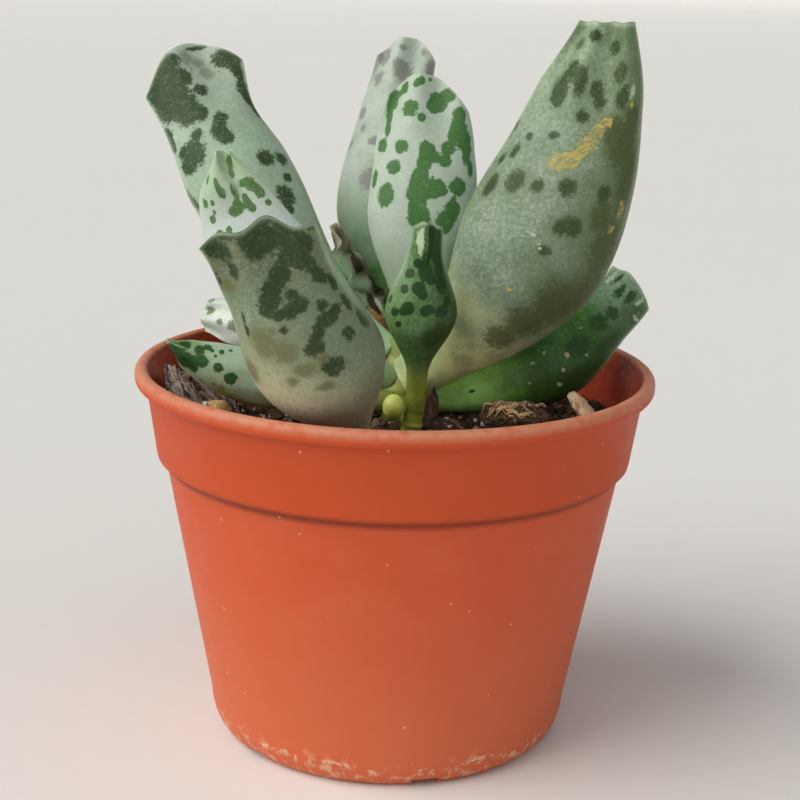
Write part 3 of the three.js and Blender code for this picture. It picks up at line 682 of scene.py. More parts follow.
def leaf_skin(leaf, along, angle, rim=0.0):
    """Points of a leaf's skin at shares along it and angles round it, with the run of the leaf there.
    rim goes from 0 to 1 where the tip's edge rounds off."""
    base, bend, tip, face = (np.array(leaf[key], float) for key in ("base", "bend", "tip", "face"))
    t = along[..., None]
    place = (1 - t) ** 2 * base + 2 * t * (1 - t) * bend + t * t * tip
    run = unit(2 * (1 - t) * (bend - base) + 2 * t * (tip - bend))
    across = unit(np.cross(unit(face), run))
    through = np.cross(run, across)
    side, up = np.cos(angle), np.sin(angle)
    stalk = leaf["neck"] * STALK_SWELL
    widths = [(0, leaf["neck"]), (leaf["stalk"], stalk), (leaf["belly_at"], leaf["belly"])]
    widths += [(WAIST_AT, leaf["waist"]), (1, leaf["tip_width"])]
    thicks = [(0, leaf["neck"]), (leaf["stalk"], stalk)]
    thicks += [(leaf["belly_at"] - THICKEST_BEFORE_BELLY, leaf["thickness"])]
    thicks += [(WAIST_AT, leaf["thickness"] * WAIST_THICKNESS)]
    thicks += [(1, leaf["edge"])]
    half_width = monotone(widths, along) / 2 * (1 - 0.04 * rim)
    half_thick = monotone(thicks, along) / 2 * np.cos(rim * np.pi / 2)
    near_tip = step(TIP_FROM, 1, along)
    lens = np.sign(up) * np.abs(up) ** (1 + EDGE_SHARPNESS * step(SHARP_FROM, 1, along)) * half_thick
    wave = leaf["wave"] * step(WAVE_FROM, 1, along) * np.sin(np.pi * leaf["waves"] * side)
    forward = near_tip * (leaf["round"] * (1 - side**2) + leaf["slant"] * side)
    forward = forward + leaf["edge"] / 2 * np.sin(rim * np.pi / 2)
    crest = step(0.8, 1, along) * leaf["crinkle"]
    forward = forward + crest * np.sin(leaf["scallops"] * side + 2 * leaf["waves"])
    edge = np.abs(side) ** 8 * step(0.6, 0.9, along) * leaf["crinkle"]
    outward = 1 + edge * np.sin(26 * along + 5 * side) / np.maximum(half_width, 1)
    dimples = 0.1 * np.sin(23 * along + 3 * angle) * np.sin(5 * angle - 11 * along) * step(0.1, 0.3, along)
    lift = lens + wave + dimples * half_thick / np.max(half_thick) + flap_lift(leaf, along, side, up)
    points = place + across * (side * half_width * outward)[..., None]
    points = points + through * lift[..., None] + run * forward[..., None]
    return points, run


def flap_edge(leaf, along):
    """Where the edge of a folded tip's upper flap runs, as a share across the leaf."""
    height, start, at_start, at_tip = leaf["flap"]
    return at_start + (at_tip - at_start) * np.clip((along - start) / (1 - start), 0, 1)


def flap_lift(leaf, along, side, up):
    """How far a folded tip's upper flap stands over the lower one."""
    if not leaf["flap"]:
        return 0
    height, start = leaf["flap"][:2]
    over = step(-0.09, 0.09, side - flap_edge(leaf, along)) * (1 - step(0.7, 1, side))
    return height * step(start, start + 0.16, along) * over * np.clip(up * 2, 0, 1)


def marked(leaf, marks, points, up, front=1, scale=1.0):
    """How much marks on one side of a leaf cover each point: 1 in a mark's middle and 0.5 at its edge.
    Marks that touch run together without swelling."""
    cover = np.zeros(len(points))
    for share, across, size, *length in marks:
        angle = front * math.acos(max(-1, min(1, across)))
        centre, run = leaf_skin(leaf, np.array([share]), np.array([angle]))
        away = points - centre[0]
        lengthwise = away @ run[0]
        crosswise = np.maximum((away**2).sum(1) - lengthwise**2, 0)
        crosswise = crosswise * np.where(front * up < -0.12, 8, 1)
        reach = (scale * size / 2) ** 2
        reach_along = (scale * (length[0] if length else size) / 2) ** 2
        cover += 2 ** (-3 * (crosswise / reach + lengthwise**2 / reach_along) ** 1.2)
    return cover ** (1 / 3)


def scattered_marks(count, seed):
    """Spots for the side of a leaf that the photo doesn't show."""
    draw = np.random.default_rng(seed)
    return [
        (draw.uniform(0.45, 0.97), draw.uniform(-0.85, 0.85), draw.uniform(1.1, 3), draw.uniform(1.2, 3.4))
        for _ in range(count)
    ]


def leaf_piece(name, leaf, looks):
    """A leaf as a closed mesh, with what its material reads kept on its points."""
    rings, sides = looks.rings, looks.sides
    rims = 4
    along = np.concatenate([np.linspace(0, 1, rings), np.ones(rims)])[:, None]
    rim = np.concatenate([np.zeros(rings), np.linspace(1 / rims, 1, rims)])[:, None]
    angle = np.linspace(0, 2 * np.pi, sides, endpoint=False)[None, :]
    along, angle, rim = np.broadcast_arrays(along, angle, rim)
    points, _ = leaf_skin(leaf, along, angle, rim)
    points, along, angle, rim = points.reshape(-1, 3), along.ravel(), angle.ravel(), rim.ravel()
    if leaf["crumple"]:
        points = points + leaf["crumple"] * np.array([noise.noise_vector(Vector(point) / 2.2) for point in points])
    side, up = np.cos(angle), np.sin(angle)
    count = rings + rims
    ring, spoke = np.meshgrid(np.arange(count - 1), np.arange(sides), indexing="ij")
    here, beside = ring * sides + spoke, ring * sides + (spoke + 1) % sides
    # The two halves of the last ring meet in one line, so they share its points
    shared = np.arange(count * sides)
    shared[-(sides // 2) + 1 :] = shared[-sides // 2 - 1 : -sides : -1]
    faces = shared[np.stack([here, beside, beside + sides, here + sides], -1)].reshape(-1, 4).tolist()
    faces.append(list(range(sides - 1, -1, -1)))
    mesh = bpy.data.meshes.new(name)
    mesh.from_pydata((points * MM).tolist(), [], faces)
    length = np.linalg.norm(np.array(leaf["tip"], float) - np.array(leaf["base"], float))
    from_side = (1 - np.abs(side)) * leaf["waist"] / 2
    from_edge = np.minimum(from_side, (1 - along) * length)
    behind = scattered_marks(leaf["back_marks"], sum(map(ord, name)))
    size = looks.spot_size
    kept = {
        "along": along,
        "across": side,
        "margin": np.exp(-((from_edge / 0.28) ** 2)) * step(0.55, 0.75, along) * (1 - 0.8 * rim),
        "dark": marked(leaf, leaf["dark"], points, up, 1, size) + marked(leaf, behind, points, up, -1, size),
        "pale": marked(leaf, leaf["pale"], points, up),
        "brown": marked(leaf, leaf["brown"], points, up),
        "scar": marked(leaf, leaf["scar"], points, up),
    }
    for key in ("dark", "brown"):
        over_rim = kept[key].reshape(count, sides)
        over_rim[rings:] = over_rim[rings - 1]
    kept["dark"] = np.maximum(kept["dark"], leaf["dark_rim"] * step(0.96, 0.995, along))
    # A flap's edge gets a pale line: a painted highlight along the fold
    if leaf["flap"]:
        start = leaf["flap"][1]
        on_edge = np.exp(-(((side - flap_edge(leaf, along)) / 0.1) ** 2)) * step(start, start + 0.1, along)
        kept["pale"] = np.maximum(kept["pale"], 0.6 * on_edge * (up > 0))
    for key, values in kept.items():
        mesh.attributes.new(key, "FLOAT", "POINT").data.foreach_set("value", np.asarray(values, np.float32))
    piece = outward(new_object(name, mesh), seams=False)
    # Points whose faces turn down get the underside colour: painted shade, and on the front-left leaf painted light
    normals = np.zeros(len(piece.data.vertices) * 3)
    piece.data.vertices.foreach_get("normal", normals)
    below = step(0.15, 0.9, -normals.reshape(-1, 3)[:, 2])
    piece.data.attributes.new("below", "FLOAT", "POINT").data.foreach_set("value", below.astype(np.float32))
    return smooth_faces(piece)


def leaf_wax(name, leaf):
    """Living leaf: a waxed skin grown over green flesh. The powdery wax greys the green and dulls its
    shine, cracks into fine worm-like lines, lies thinner over the dark blotches, and is rubbed to plain
    green near the stalk. Painted shade darkens the faces turned down and the side away from the key
    light, where the wax is painted thinner too; on some leaves the foot and the faces turned down are
    brightened as painted light."""
    material, tree = new_material(name)
    hues = {"stain": "857B58", "tip": leaf["colours"]["blade"], "under": leaf["colours"]["shade"], **leaf["colours"]}
    hues = {"shaded_side": hues["shade"], **hues}
    hues = {key: linear(code) for key, code in hues.items()}
    place = add(tree, "ShaderNodeTexCoord").outputs["Object"]
    along, across, margin, dark, pale, brown, scar, below = (
        add(tree, "ShaderNodeAttribute", {"attribute_name": key}).outputs["Fac"]
        for key in ("along", "across", "margin", "dark", "pale", "brown", "scar", "below")
    )
    powder, ripple, cloud = (
        add(tree, *NOISE, {"Vector": place, "Scale": per_mm(size), "Detail": 3, "Roughness": 0.6}).outputs[0]
        for size in (0.6, 1.2, 5)
    )
    bloom = leaf["bloom"]
    # Foot, blade and tip colours along the leaf; the foot colour of the front-left, right-big and low-right leaves is
    # brightened as painted light where their feet lie in shade
    skin = add(tree, *MIX, {0: add(tree, *RISE, {0: along, 1: 0.4 * leaf["foot_to"], 2: leaf["foot_to"]}), 6: hues["foot"], 7: hues["blade"]})
    skin = add(tree, *MIX, {0: add(tree, *RISE, {0: along, 1: 0.72, 2: 0.98}), 6: skin, 7: hues["tip"]})
    skin = add(tree, *MIX, {0: add(tree, *RISE, {0: cloud, 1: 0.4, 2: 0.7, 4: 0.5}), 6: skin, 7: hues["shade"]})
    # Painted shade on the faces turned down along the blade, and painted light on the front-left leaf's underside
    middle = band(tree, along, 0.5, leaf["under_reach"])
    skin = add(tree, *MIX, {0: add(tree, *TIMES, {0: below, 1: middle}), 6: skin, 7: hues["under"]})
    # Painted shade: the side away from the key light, at the viewer's right, is darkened over the blade, partly also a
    # barer, greener skin; the wax there is painted thinner too
    shaded_side = add(tree, *PLUS, {0: across, 1: add(tree, *TIMES, {0: cloud, 1: -0.8})})
    shaded_side = add(tree, *RISE, {0: shaded_side, 1: -1.3, 2: 0.1, 3: leaf["shaded_side"], 4: 0})
    blade_only = add(tree, *RISE, {0: along, 1: 0.2, 2: 0.48})
    shaded_side = add(tree, *TIMES, {0: shaded_side, 1: blade_only})
    skin = add(tree, *MIX, {0: shaded_side, 6: skin, 7: hues["shaded_side"]})
    pores = add(tree, *RISE, {0: powder, 1: 0.3, 2: 0.5, 3: 0.5, 4: 0})
    skin = add(tree, *MIX, {0: add(tree, *TIMES, {0: pores, 1: blade_only}), 6: skin, 7: hues["shade"]})
    wax = add(tree, *RISE, {0: powder, 1: 0.45, 2: 0.75, 4: 0.8 * bloom})
    worms = {"Vector": place, "Scale": per_mm(1.3), "Detail": 1, "Distortion": 1.8}
    worms = band(tree, add(tree, *NOISE, worms), 0.5, 0.06)
    clear = add(tree, *RISE, {0: along, 1: 0.15, 2: 0.5})
    clear = add(tree, *TIMES, {0: clear, 1: add(tree, *RISE, {0: cloud, 1: 0.35, 2: 0.6, 3: 1, 4: 0.3})})
    cracked = add(tree, *TIMES, {0: worms, 1: clear})
    wax = add(tree, *PLUS, {0: wax, 1: add(tree, *TIMES, {0: cracked, 1: 0.65 * bloom})})
    wax = add(tree, *TIMES, {0: wax, 1: add(tree, *RISE, {0: shaded_side, 1: 0, 2: 1, 3: 1, 4: 0.3})})
    skin = add(tree, *MIX, {0: wax, 6: skin, 7: linear("CBD6CA")})
    soft = leaf["softness"]
    grainy = 4 * soft
    fine = add(tree, *TIMES, {0: powder, 1: grainy})
    fine = add(tree, *PLUS, {0: fine, 1: add(tree, *TIMES, {0: ripple, 1: 0.5})})
    ragged = add(tree, *PLUS, {0: fine, 1: -(grainy + 0.5) / 2})
    stain = add(tree, *RISE, {0: add(tree, *PLUS, {0: brown, 1: ragged}), 1: 0.15, 2: 0.9, 4: 0.8})
    skin = add(tree, *MIX, {0: stain, 6: skin, 7: hues["stain"]})
    blotch = add(tree, *PLUS, {0: dark, 1: ragged})
    blotch = add(tree, *RISE, {0: blotch, 1: 0.5 - 0.7 * soft, 2: 0.5 + 0.7 * soft, 4: 0.96})
    strewn = add(tree, *RISE, {0: powder, 1: 0.52, 2: 0.75, 4: 0.7 * bloom})
    strewn = add(tree, *PLUS, {0: strewn, 1: add(tree, *TIMES, {0: cracked, 1: 0.45 * bloom})})
    skin = add(tree, *MIX, {0: blotch, 6: skin, 7: add(tree, *MIX, {0: strewn, 6: hues["spot"], 7: hues["blade"]})})
    # Pale marks: pale patches of the skin, and painted highlights along a flap's edge and on some tips
    light = add(tree, *RISE, {0: add(tree, *PLUS, {0: pale, 1: ragged}), 1: 0.35, 2: 0.75, 4: 0.7})
    skin = add(tree, *MIX, {0: light, 6: skin, 7: linear("C3D2B4")})
    # A scar heals as short corky strokes that lean to the right
    turned = {"Vector": place, "Rotation": (0, math.radians(-28), 0), "Scale": (1.7, 1, 0.6)}
    strokes = add(tree, "ShaderNodeMapping", {"vector_type": "TEXTURE"}, turned)
    strokes = {"Vector": strokes, "Scale": per_mm(0.75), "Detail": 2, "Distortion": 1}
    strokes = add(tree, *NOISE, strokes)
    cork = add(tree, *RISE, {0: strokes, 1: 0.38, 2: 0.6, 3: 0.35, 4: 1})
    cork = add(tree, *TIMES, {0: cork, 1: add(tree, *RISE, {0: add(tree, *PLUS, {0: scar, 1: ragged}), 1: 0.3, 2: 0.6})})
    skin = add(tree, *MIX, {0: cork, 6: skin, 7: add(tree, *MIX, {0: strokes, 6: linear("5E5A1C"), 7: linear("D6C878")})})
    skin = add(tree, *MIX, {0: add(tree, *TIMES, {0: margin, 1: 0.5}), 6: skin, 7: linear("BECDB8")})
    rough = leaf["roughness"]
    dull = add(tree, *RISE, {0: ripple, 1: 0.3, 2: 0.7, 3: rough - 0.08, 4: rough + 0.1})
    grain = add(tree, *PLUS, {0: powder, 1: add(tree, *TIMES, {0: ripple, 1: 0.8})})
    grain = add(tree, *PLUS, {0: grain, 1: add(tree, *PLUS, {0: cork, 1: add(tree, *TIMES, {0: worms, 1: 0.5})})})
    bump = add(tree, "ShaderNodeBump", {}, {"Strength": 0.5, "Distance": 0.06 * MM, "Height": grain})
    flesh = {"Subsurface Weight": 0.1, "Subsurface Radius": (0.5, 1, 0.3), "Subsurface Scale": 1.5 * MM}
    shader = add(
        tree,
        *SHADER,
        {"Base Color": skin, "Roughness": dull, "Specular IOR Level": 0.25, "Normal": bump, **flesh},
    )
    add(tree, *OUTPUT, {"Surface": shader})
    return material


def pot_plastic(colour):
    """Moulded polypropylene coloured through as terracotta. It has a satin skin from the mould, a dusty
    bloom in low patches, cream specks of dried splashes, and a crust of lime where it stood wet."""
    material, tree = new_material("moulded_polypropylene")
    place = add(tree, "ShaderNodeTexCoord").outputs["Object"]
    axes = add(tree, "ShaderNodeSeparateXYZ", {}, {0: place})
    height, sideways = axes.outputs["Z"], axes.outputs["X"]
    grain, ripple, patch, drift = (
        add(tree, *NOISE, {"Vector": place, "Scale": per_mm(size), "Detail": 4, "Roughness": 0.6}).outputs[0]
        for size in (0.35, 1.6, 9, 30)
    )
    # The body is paler towards the foot
    rising = add(tree, *PLUS, {0: height, 1: add(tree, *TIMES, {0: drift, 1: 22 * MM})})
    rising = add(tree, *RISE, {0: rising, 1: 18 * MM, 2: 54 * MM})
    skin = add(tree, *MIX, {0: rising, 6: linear("CE6642"), 7: (*colour, 1)})
    # The collar and everything above it is cleaner and redder than the dusty body
    collar = add(tree, *RISE, {0: height, 1: (BODY_TOP_Z - 0.5) * MM, 2: (COLLAR_FOOT_Z + 0.5) * MM})
    skin = add(tree, *MIX, {0: add(tree, *TIMES, {0: collar, 1: 0.85}), 6: skin, 7: linear("C64E26")})
    dust = add(tree, *RISE, {0: patch, 1: 0.4, 2: 0.8, 4: 0.16})
    dust = add(tree, *TIMES, {0: dust, 1: add(tree, *RISE, {0: collar, 1: 0, 2: 1, 3: 1, 4: 0.35})})
    skin = add(tree, *MIX, {0: dust, 6: skin, 7: linear("D48460")})
    # Painted shadow darkens the band under the collar's overhang, and the top of the lip is paler in patches
    groove_shadow = add(tree, *TIMES, {0: band(tree, height, GROOVE_SHADOW_Z * MM, 1.4 * MM), 1: 0.8})
    skin = add(tree, *MIX, {0: groove_shadow, 6: skin, 7: linear("7C2E18")})
    lip = add(tree, *RISE, {0: height, 1: 60 * MM, 2: 61.6 * MM, 4: 0.5})
    lip = add(tree, *TIMES, {0: lip, 1: add(tree, *RISE, {0: ripple, 1: 0.25, 2: 0.6, 3: 0.6, 4: 1.5})})
    skin = add(tree, *MIX, {0: lip, 6: skin, 7: linear("CE9476")})
    # Lime crust: a thin wavering line above the foot, and patches under it
    wavering = add(tree, *PLUS, {0: height, 1: add(tree, *TIMES, {0: patch, 1: 5 * MM})})
    line = band(tree, wavering, 6.4 * MM, 0.4 * MM)
    low = add(tree, *RISE, {0: wavering, 1: 5.2 * MM, 2: 8.4 * MM, 3: 1, 4: 0})
    spread = add(tree, *RISE, {0: ripple, 1: 0.5, 2: 0.62})
    crust = add(tree, *TIMES, {0: low, 1: spread})
    crust = add(tree, *PLUS, {0: crust, 1: add(tree, *TIMES, {0: line, 1: spread})})
    crust = add(tree, "ShaderNodeMath", {"operation": "MULTIPLY", "use_clamp": True}, {0: crust, 1: 0.6})
    skin = add(tree, *MIX, {0: crust, 6: skin, 7: linear("DDB695")})
    cells = add(tree, "ShaderNodeTexVoronoi", {}, {"Vector": place, "Scale": per_mm(3.2)})
    speck = add(tree, *RISE, {0: cells.outputs["Distance"], 1: 0.05, 2: 0.075, 3: 1, 4: 0})
    shown = add(tree, "ShaderNodeSeparateColor", {}, {0: cells.outputs["Color"]})
    shown = add(tree, "ShaderNodeMath", {"operation": "GREATER_THAN"}, {0: shown, 1: 0.8})
    speck = add(tree, *TIMES, {0: speck, 1: shown})
    skin = add(tree, *MIX, {0: add(tree, *TIMES, {0: speck, 1: 0.6}), 6: skin, 7: linear("E8C6A8")})
    # Inside the wall the plastic is darker and redder
    out_from = add(tree, "ShaderNodeVectorMath", {"operation": "MULTIPLY"}, {0: place, 1: (1, 1, 0)})
    out_from = add(tree, "ShaderNodeVectorMath", {"operation": "NORMALIZE"}, {0: out_from})
    faced = add(tree, "ShaderNodeNewGeometry").outputs["Normal"]
    inner = add(tree, "ShaderNodeVectorMath", {"operation": "DOT_PRODUCT"}, {0: out_from, 1: faced})
    inner = add(tree, *RISE, {0: inner.outputs["Value"], 1: -0.5, 2: -0.8, 4: 0.85})
    skin = add(tree, *MIX, {0: inner, 6: skin, 7: linear("B03A1C")})
    splashed = add(tree, *TIMES, {0: add(tree, *RISE, {0: ripple, 1: 0.54, 2: 0.7, 4: 0.55}), 1: inner})
    skin = add(tree, *MIX, {0: splashed, 6: skin, 7: linear("C58E78")})
    dull = add(tree, *RISE, {0: patch, 1: 0.3, 2: 0.7, 3: 0.46, 4: 0.62})
    relief = add(tree, *PLUS, {0: grain, 1: add(tree, *TIMES, {0: ripple, 1: 1.5})})
    relief = add(tree, *PLUS, {0: relief, 1: add(tree, *TIMES, {0: crust, 1: 2})})
    bump = add(tree, "ShaderNodeBump", {}, {"Strength": 0.35, "Distance": 0.05 * MM, "Height": relief})
    plastic = {"Base Color": skin, "Roughness": dull, "Specular IOR Level": 0.22, "Normal": bump}
    add(tree, *OUTPUT, {"Surface": add(tree, *SHADER, plastic)})
    return material


def crumbly(name, dark, light, grit, rough=0.9, relief=0.25, stretch=(1, 1, 1)):
    """A dull broken surface, such as soil, bark or stone: two colours in patches of one grit, in
    millimetres, drawn out along an axis where the stuff has a grain."""
    material, tree = new_material(name)
    place = add(tree, "ShaderNodeTexCoord").outputs["Object"]
    drawn = add(tree, "ShaderNodeMapping", {"vector_type": "TEXTURE"}, {"Vector": place, "Scale": stretch})
    coarse, fine = (
        add(tree, *NOISE, {"Vector": drawn, "Scale": per_mm(size), "Detail": 4, "Roughness": 0.65}).outputs[0]
        for size in (grit, grit / 4)
    )
    island = add(tree, "ShaderNodeNewGeometry").outputs["Random Per Island"]
    share = add(tree, *RISE, {0: add(tree, *PLUS, {0: coarse, 1: island}), 1: 0.35, 2: 1.25})
    colour = add(tree, *MIX, {0: share, 6: linear(dark), 7: linear(light)})
    pores = add(tree, *RISE, {0: fine, 1: 0.3, 2: 0.55, 3: 0.55, 4: 0})
    colour = add(tree, *MIX, {0: pores, 6: colour, 7: linear("1C140E")})
    height = add(tree, *PLUS, {0: coarse, 1: fine})
    bump = add(tree, "ShaderNodeBump", {}, {"Strength": 0.8, "Distance": relief * MM, "Height": height})
    shader = add(tree, *SHADER, {"Base Color": colour, "Roughness": rough, "IOR": 1.5, "Normal": bump})
    add(tree, *OUTPUT, {"Surface": shader})
    return material


def stem_skin():
    """Living stem: thin green bark over wet flesh, smooth and a little translucent, browner at the scars."""
    material, tree = new_material("stem_skin")
    place = add(tree, "ShaderNodeTexCoord").outputs["Object"]
    patch, grain = (
        add(tree, *NOISE, {"Vector": place, "Scale": per_mm(size), "Detail": 3}).outputs[0]
        for size in (3, 0.5)
    )
    height = add(tree, "ShaderNodeSeparateXYZ", {}, {0: place}).outputs["Z"]
    rising = add(tree, *RISE, {0: height, 1: 57 * MM, 2: 63 * MM})
    skin = add(tree, *MIX, {0: rising, 6: linear("9AA23A"), 7: linear("C8CC8C")})
    patch = add(tree, *RISE, {0: patch, 1: 0.45, 2: 0.7, 4: 0.6})
    skin = add(tree, *MIX, {0: patch, 6: skin, 7: linear("8B9A45")})
    fleck = add(tree, *RISE, {0: grain, 1: 0.6, 2: 0.75, 4: 0.5})
    skin = add(tree, *MIX, {0: fleck, 6: skin, 7: linear("7A6436")})
    bump = add(tree, "ShaderNodeBump", {}, {"Strength": 0.4, "Distance": 0.08 * MM, "Height": grain})
    flesh = {"Subsurface Weight": 0.15, "Subsurface Radius": (0.8, 1, 0.2), "Subsurface Scale": 1.5 * MM}
    skinned = {"Base Color": skin, "Roughness": 0.45, "IOR": 1.45, "Normal": bump, **flesh}
    add(tree, *OUTPUT, {"Surface": add(tree, *SHADER, skinned)})
    return material


def arc(centre, radii, start, end, steps=8):
    """Points of an elliptic arc of the pot's outline, between two angles in degrees."""
    turns = (math.radians(start + (end - start) * i / steps) for i in range(steps + 1))
    return [(centre[0] + radii[0] * math.cos(a), centre[1] + radii[1] * math.sin(a)) for a in turns]


def inner_radius(z):
    """The radius of the pot's inner wall at a height."""
    if z <= BODY_TOP_Z:
        share = (z - BODY_FOOT_Z) / (BODY_TOP_Z - BODY_FOOT_Z)
        return BODY_FOOT_RADIUS + share * (BODY_TOP_RADIUS - BODY_FOOT_RADIUS) - WALL
    share = (z - COLLAR_FOOT_Z) / (POT_HEIGHT - LIP_HEIGHT - COLLAR_FOOT_Z)
    return COLLAR_FOOT_RADIUS + share * (COLLAR_TOP_RADIUS - COLLAR_FOOT_RADIUS) - WALL


def pot_outline():
    """The pot's outline from the middle of its underside, up the outside and down the inside."""
    lip_foot = POT_HEIGHT - LIP_HEIGHT
    bead = (LIP_ROUNDING, LIP_ROUNDING)
    outer = LIP_RADIUS - LIP_ROUNDING
    inner = LIP_RADIUS - LIP_WIDTH + LIP_ROUNDING
    return [
        (0, 0),
        (BOSS_RADIUS, 0),
        (BOSS_RADIUS, RECESS_DEPTH),
        (RECESS_RADIUS, RECESS_DEPTH),
        (RECESS_RADIUS, 0),
        *arc((BASE_RADIUS, BODY_FOOT_Z), (BODY_FOOT_RADIUS - BASE_RADIUS, BODY_FOOT_Z), -90, 0),
        (BODY_TOP_RADIUS - 0.15, BODY_TOP_Z - 0.8),
        (BODY_TOP_RADIUS, BODY_TOP_Z - 0.25),
        (BODY_TOP_RADIUS + 0.35, BODY_TOP_Z + 0.15),
        (COLLAR_FOOT_RADIUS - 0.45, COLLAR_FOOT_Z - 0.45),
        (COLLAR_FOOT_RADIUS - 0.1, COLLAR_FOOT_Z - 0.1),
        (COLLAR_FOOT_RADIUS, COLLAR_FOOT_Z + 0.35),
        (COLLAR_TOP_RADIUS - 0.05, lip_foot - 0.5),
        (COLLAR_TOP_RADIUS + 0.25, lip_foot),
        *arc((outer, lip_foot + LIP_ROUNDING), bead, -90, 0),
        *arc((outer, POT_HEIGHT - LIP_ROUNDING), bead, 0, 90),
        *arc((inner, POT_HEIGHT - LIP_ROUNDING), bead, 90, 180),
        (inner_radius(lip_foot), lip_foot),
        (inner_radius(COLLAR_FOOT_Z), COLLAR_FOOT_Z),
        (inner_radius(BODY_TOP_Z), BODY_TOP_Z - 0.6),
        (inner_radius(BODY_FOOT_Z), BODY_FOOT_Z),
        (BASE_RADIUS - WALL / 2, FLOOR_TOP),
        (0, FLOOR_TOP),
    ]


def outline_curve(name, outline, axle):
    """An outline as a curve for the lathe, which turns it at a distance axle from the middle."""
    curve = bpy.data.curves.new(name, "CURVE")
    spline = curve.splines.new("POLY")
    spline.points.add(len(outline) - 1)
    for point, (radius, z) in zip(spline.points, outline):
        point.co = ((radius - axle) * MM, -z * MM, 0, 1)
    return new_object(name, curve)


def lathe_tree():
    """Turns an outline about the upright axis."""
    kinds = {
        "Outline": ("Object", None),
        "Segments": ("Int", 160),
        "Axle": ("Float", MM),
        "Material": ("Material", None),
    }
    tree, given = new_tree("Pot Lathe", kinds)
    outline = add(tree, "GeometryNodeObjectInfo", {}, {"Object": given["Outline"]}).outputs["Geometry"]
    circle = {"Resolution": given["Segments"], "Radius": given["Axle"]}
    circle = add(tree, "GeometryNodeCurvePrimitiveCircle", {}, circle)
    turned = add(tree, "GeometryNodeCurveToMesh", {}, {"Curve": circle, "Profile Curve": outline})
    closed = add(tree, "GeometryNodeMergeByDistance", {}, {"Geometry": turned, "Distance": 1e-6})
    end_tree(tree, closed, given["Material"])
    return tree


def openings_tree():
    """Cuts the drain holes through the floor and the notches through the foot's ring."""
    kinds = {
        "Count": ("Int", OPENINGS),
        "Drain Circle": ("Float", DRAIN_CIRCLE * MM),
        "Drain Radius": ("Float", DRAIN_RADIUS * MM),
        "Notch Circle": ("Float", (RECESS_RADIUS + BODY_FOOT_RADIUS) / 2 * MM),
        "Notch Size": ("Vector", [side * MM for side in NOTCH_SIZE]),
        "Notch Turn": ("Vector", (0, 0, math.radians(NOTCH_TURN))),
        "Material": ("Material", None),
    }
    tree, given = new_tree("Pot Openings", kinds)
    count = given["Count"]
    drains = add(tree, "GeometryNodeMeshCircle", {}, {"Vertices": count, "Radius": given["Drain Circle"]})
    half_step = {"Geometry": drains, "Rotation": (0, 0, math.pi / OPENINGS)}
    drains = add(tree, "GeometryNodeTransform", {}, half_step)
    bore = {"Vertices": 32, "Radius": given["Drain Radius"], "Depth": 4 * FLOOR_TOP * MM}
    bore = add(tree, "GeometryNodeMeshCylinder", {}, bore)
    drains = add(tree, "GeometryNodeInstanceOnPoints", {}, {"Points": drains, "Instance": bore})
    notches = add(tree, "GeometryNodeMeshCircle", {}, {"Vertices": count, "Radius": given["Notch Circle"]})
    block = add(tree, "GeometryNodeMeshCube", {}, {"Size": given["Notch Size"]})
    place = add(tree, "GeometryNodeInputPosition")
    outwards = add(tree, "FunctionNodeAlignRotationToVector", {"axis": "X"}, {"Vector": place})
    placed = {"Points": notches, "Instance": block, "Rotation": outwards}
    notches = add(tree, "GeometryNodeInstanceOnPoints", {}, placed)
    notches = add(tree, "GeometryNodeTransform", {}, {"Geometry": notches, "Rotation": given["Notch Turn"]})
    tools = add(tree, "GeometryNodeJoinGeometry")
    for tool in (drains, notches):
        tree.links.new(tool.outputs[0], tools.inputs[0])
    tools = add(tree, "GeometryNodeRealizeInstances", {}, {0: tools})
    cut = add(tree, "GeometryNodeMeshBoolean", {"operation": "DIFFERENCE", "solver": "MANIFOLD"})
    tree.links.new(given["Geometry"], cut.inputs[0])
    tree.links.new(tools.outputs[0], cut.inputs[1])
    end_tree(tree, cut.outputs[0], given["Material"])
    return tree


def stem_tree():
    """A stem along a bent line, tapering, with a low ring where each leaf grew."""
    kinds = {
        "Foot": ("Vector", (0, 0, 0)),
        "Bend": ("Vector", (0, 0, 0)),
        "Top": ("Vector", (0, 0, 0)),
        "Foot Radius": ("Float", MM),
        "Top Radius": ("Float", MM),
        "Scar": ("Float", 0.2 * MM),
        "Material": ("Material", None),
    }
    tree, given = new_tree("Stem", kinds)
    ends = {"Start": given["Foot"], "Middle": given["Bend"], "End": given["Top"], "Resolution": 60}
    line = add(tree, "GeometryNodeCurveQuadraticBezier", {}, ends)
    share = add(tree, "GeometryNodeSplineParameter").outputs["Factor"]
    taper = {0: share, 3: given["Foot Radius"], 4: given["Top Radius"]}
    taper = add(tree, "ShaderNodeMapRange", {}, taper)
    ring = add(tree, "ShaderNodeMath", {"operation": "SINE"}, {0: add(tree, *TIMES, {0: share, 1: 32})})
    ring = add(tree, *RISE, {0: ring, 1: 0.2, 2: 1})
    ring = add(tree, "ShaderNodeMath", {"operation": "POWER"}, {0: ring, 1: 2})
    radius = add(tree, *PLUS, {0: taper, 1: add(tree, *TIMES, {0: ring, 1: given["Scar"]})})
    round_section = add(tree, "GeometryNodeCurvePrimitiveCircle", {}, {"Resolution": 40, "Radius": 1})
    sized = {"Curve": line, "Profile Curve": round_section, "Scale": radius, "Fill Caps": True}
    end_tree(tree, add(tree, "GeometryNodeCurveToMesh", {}, sized), given["Material"])
    return tree


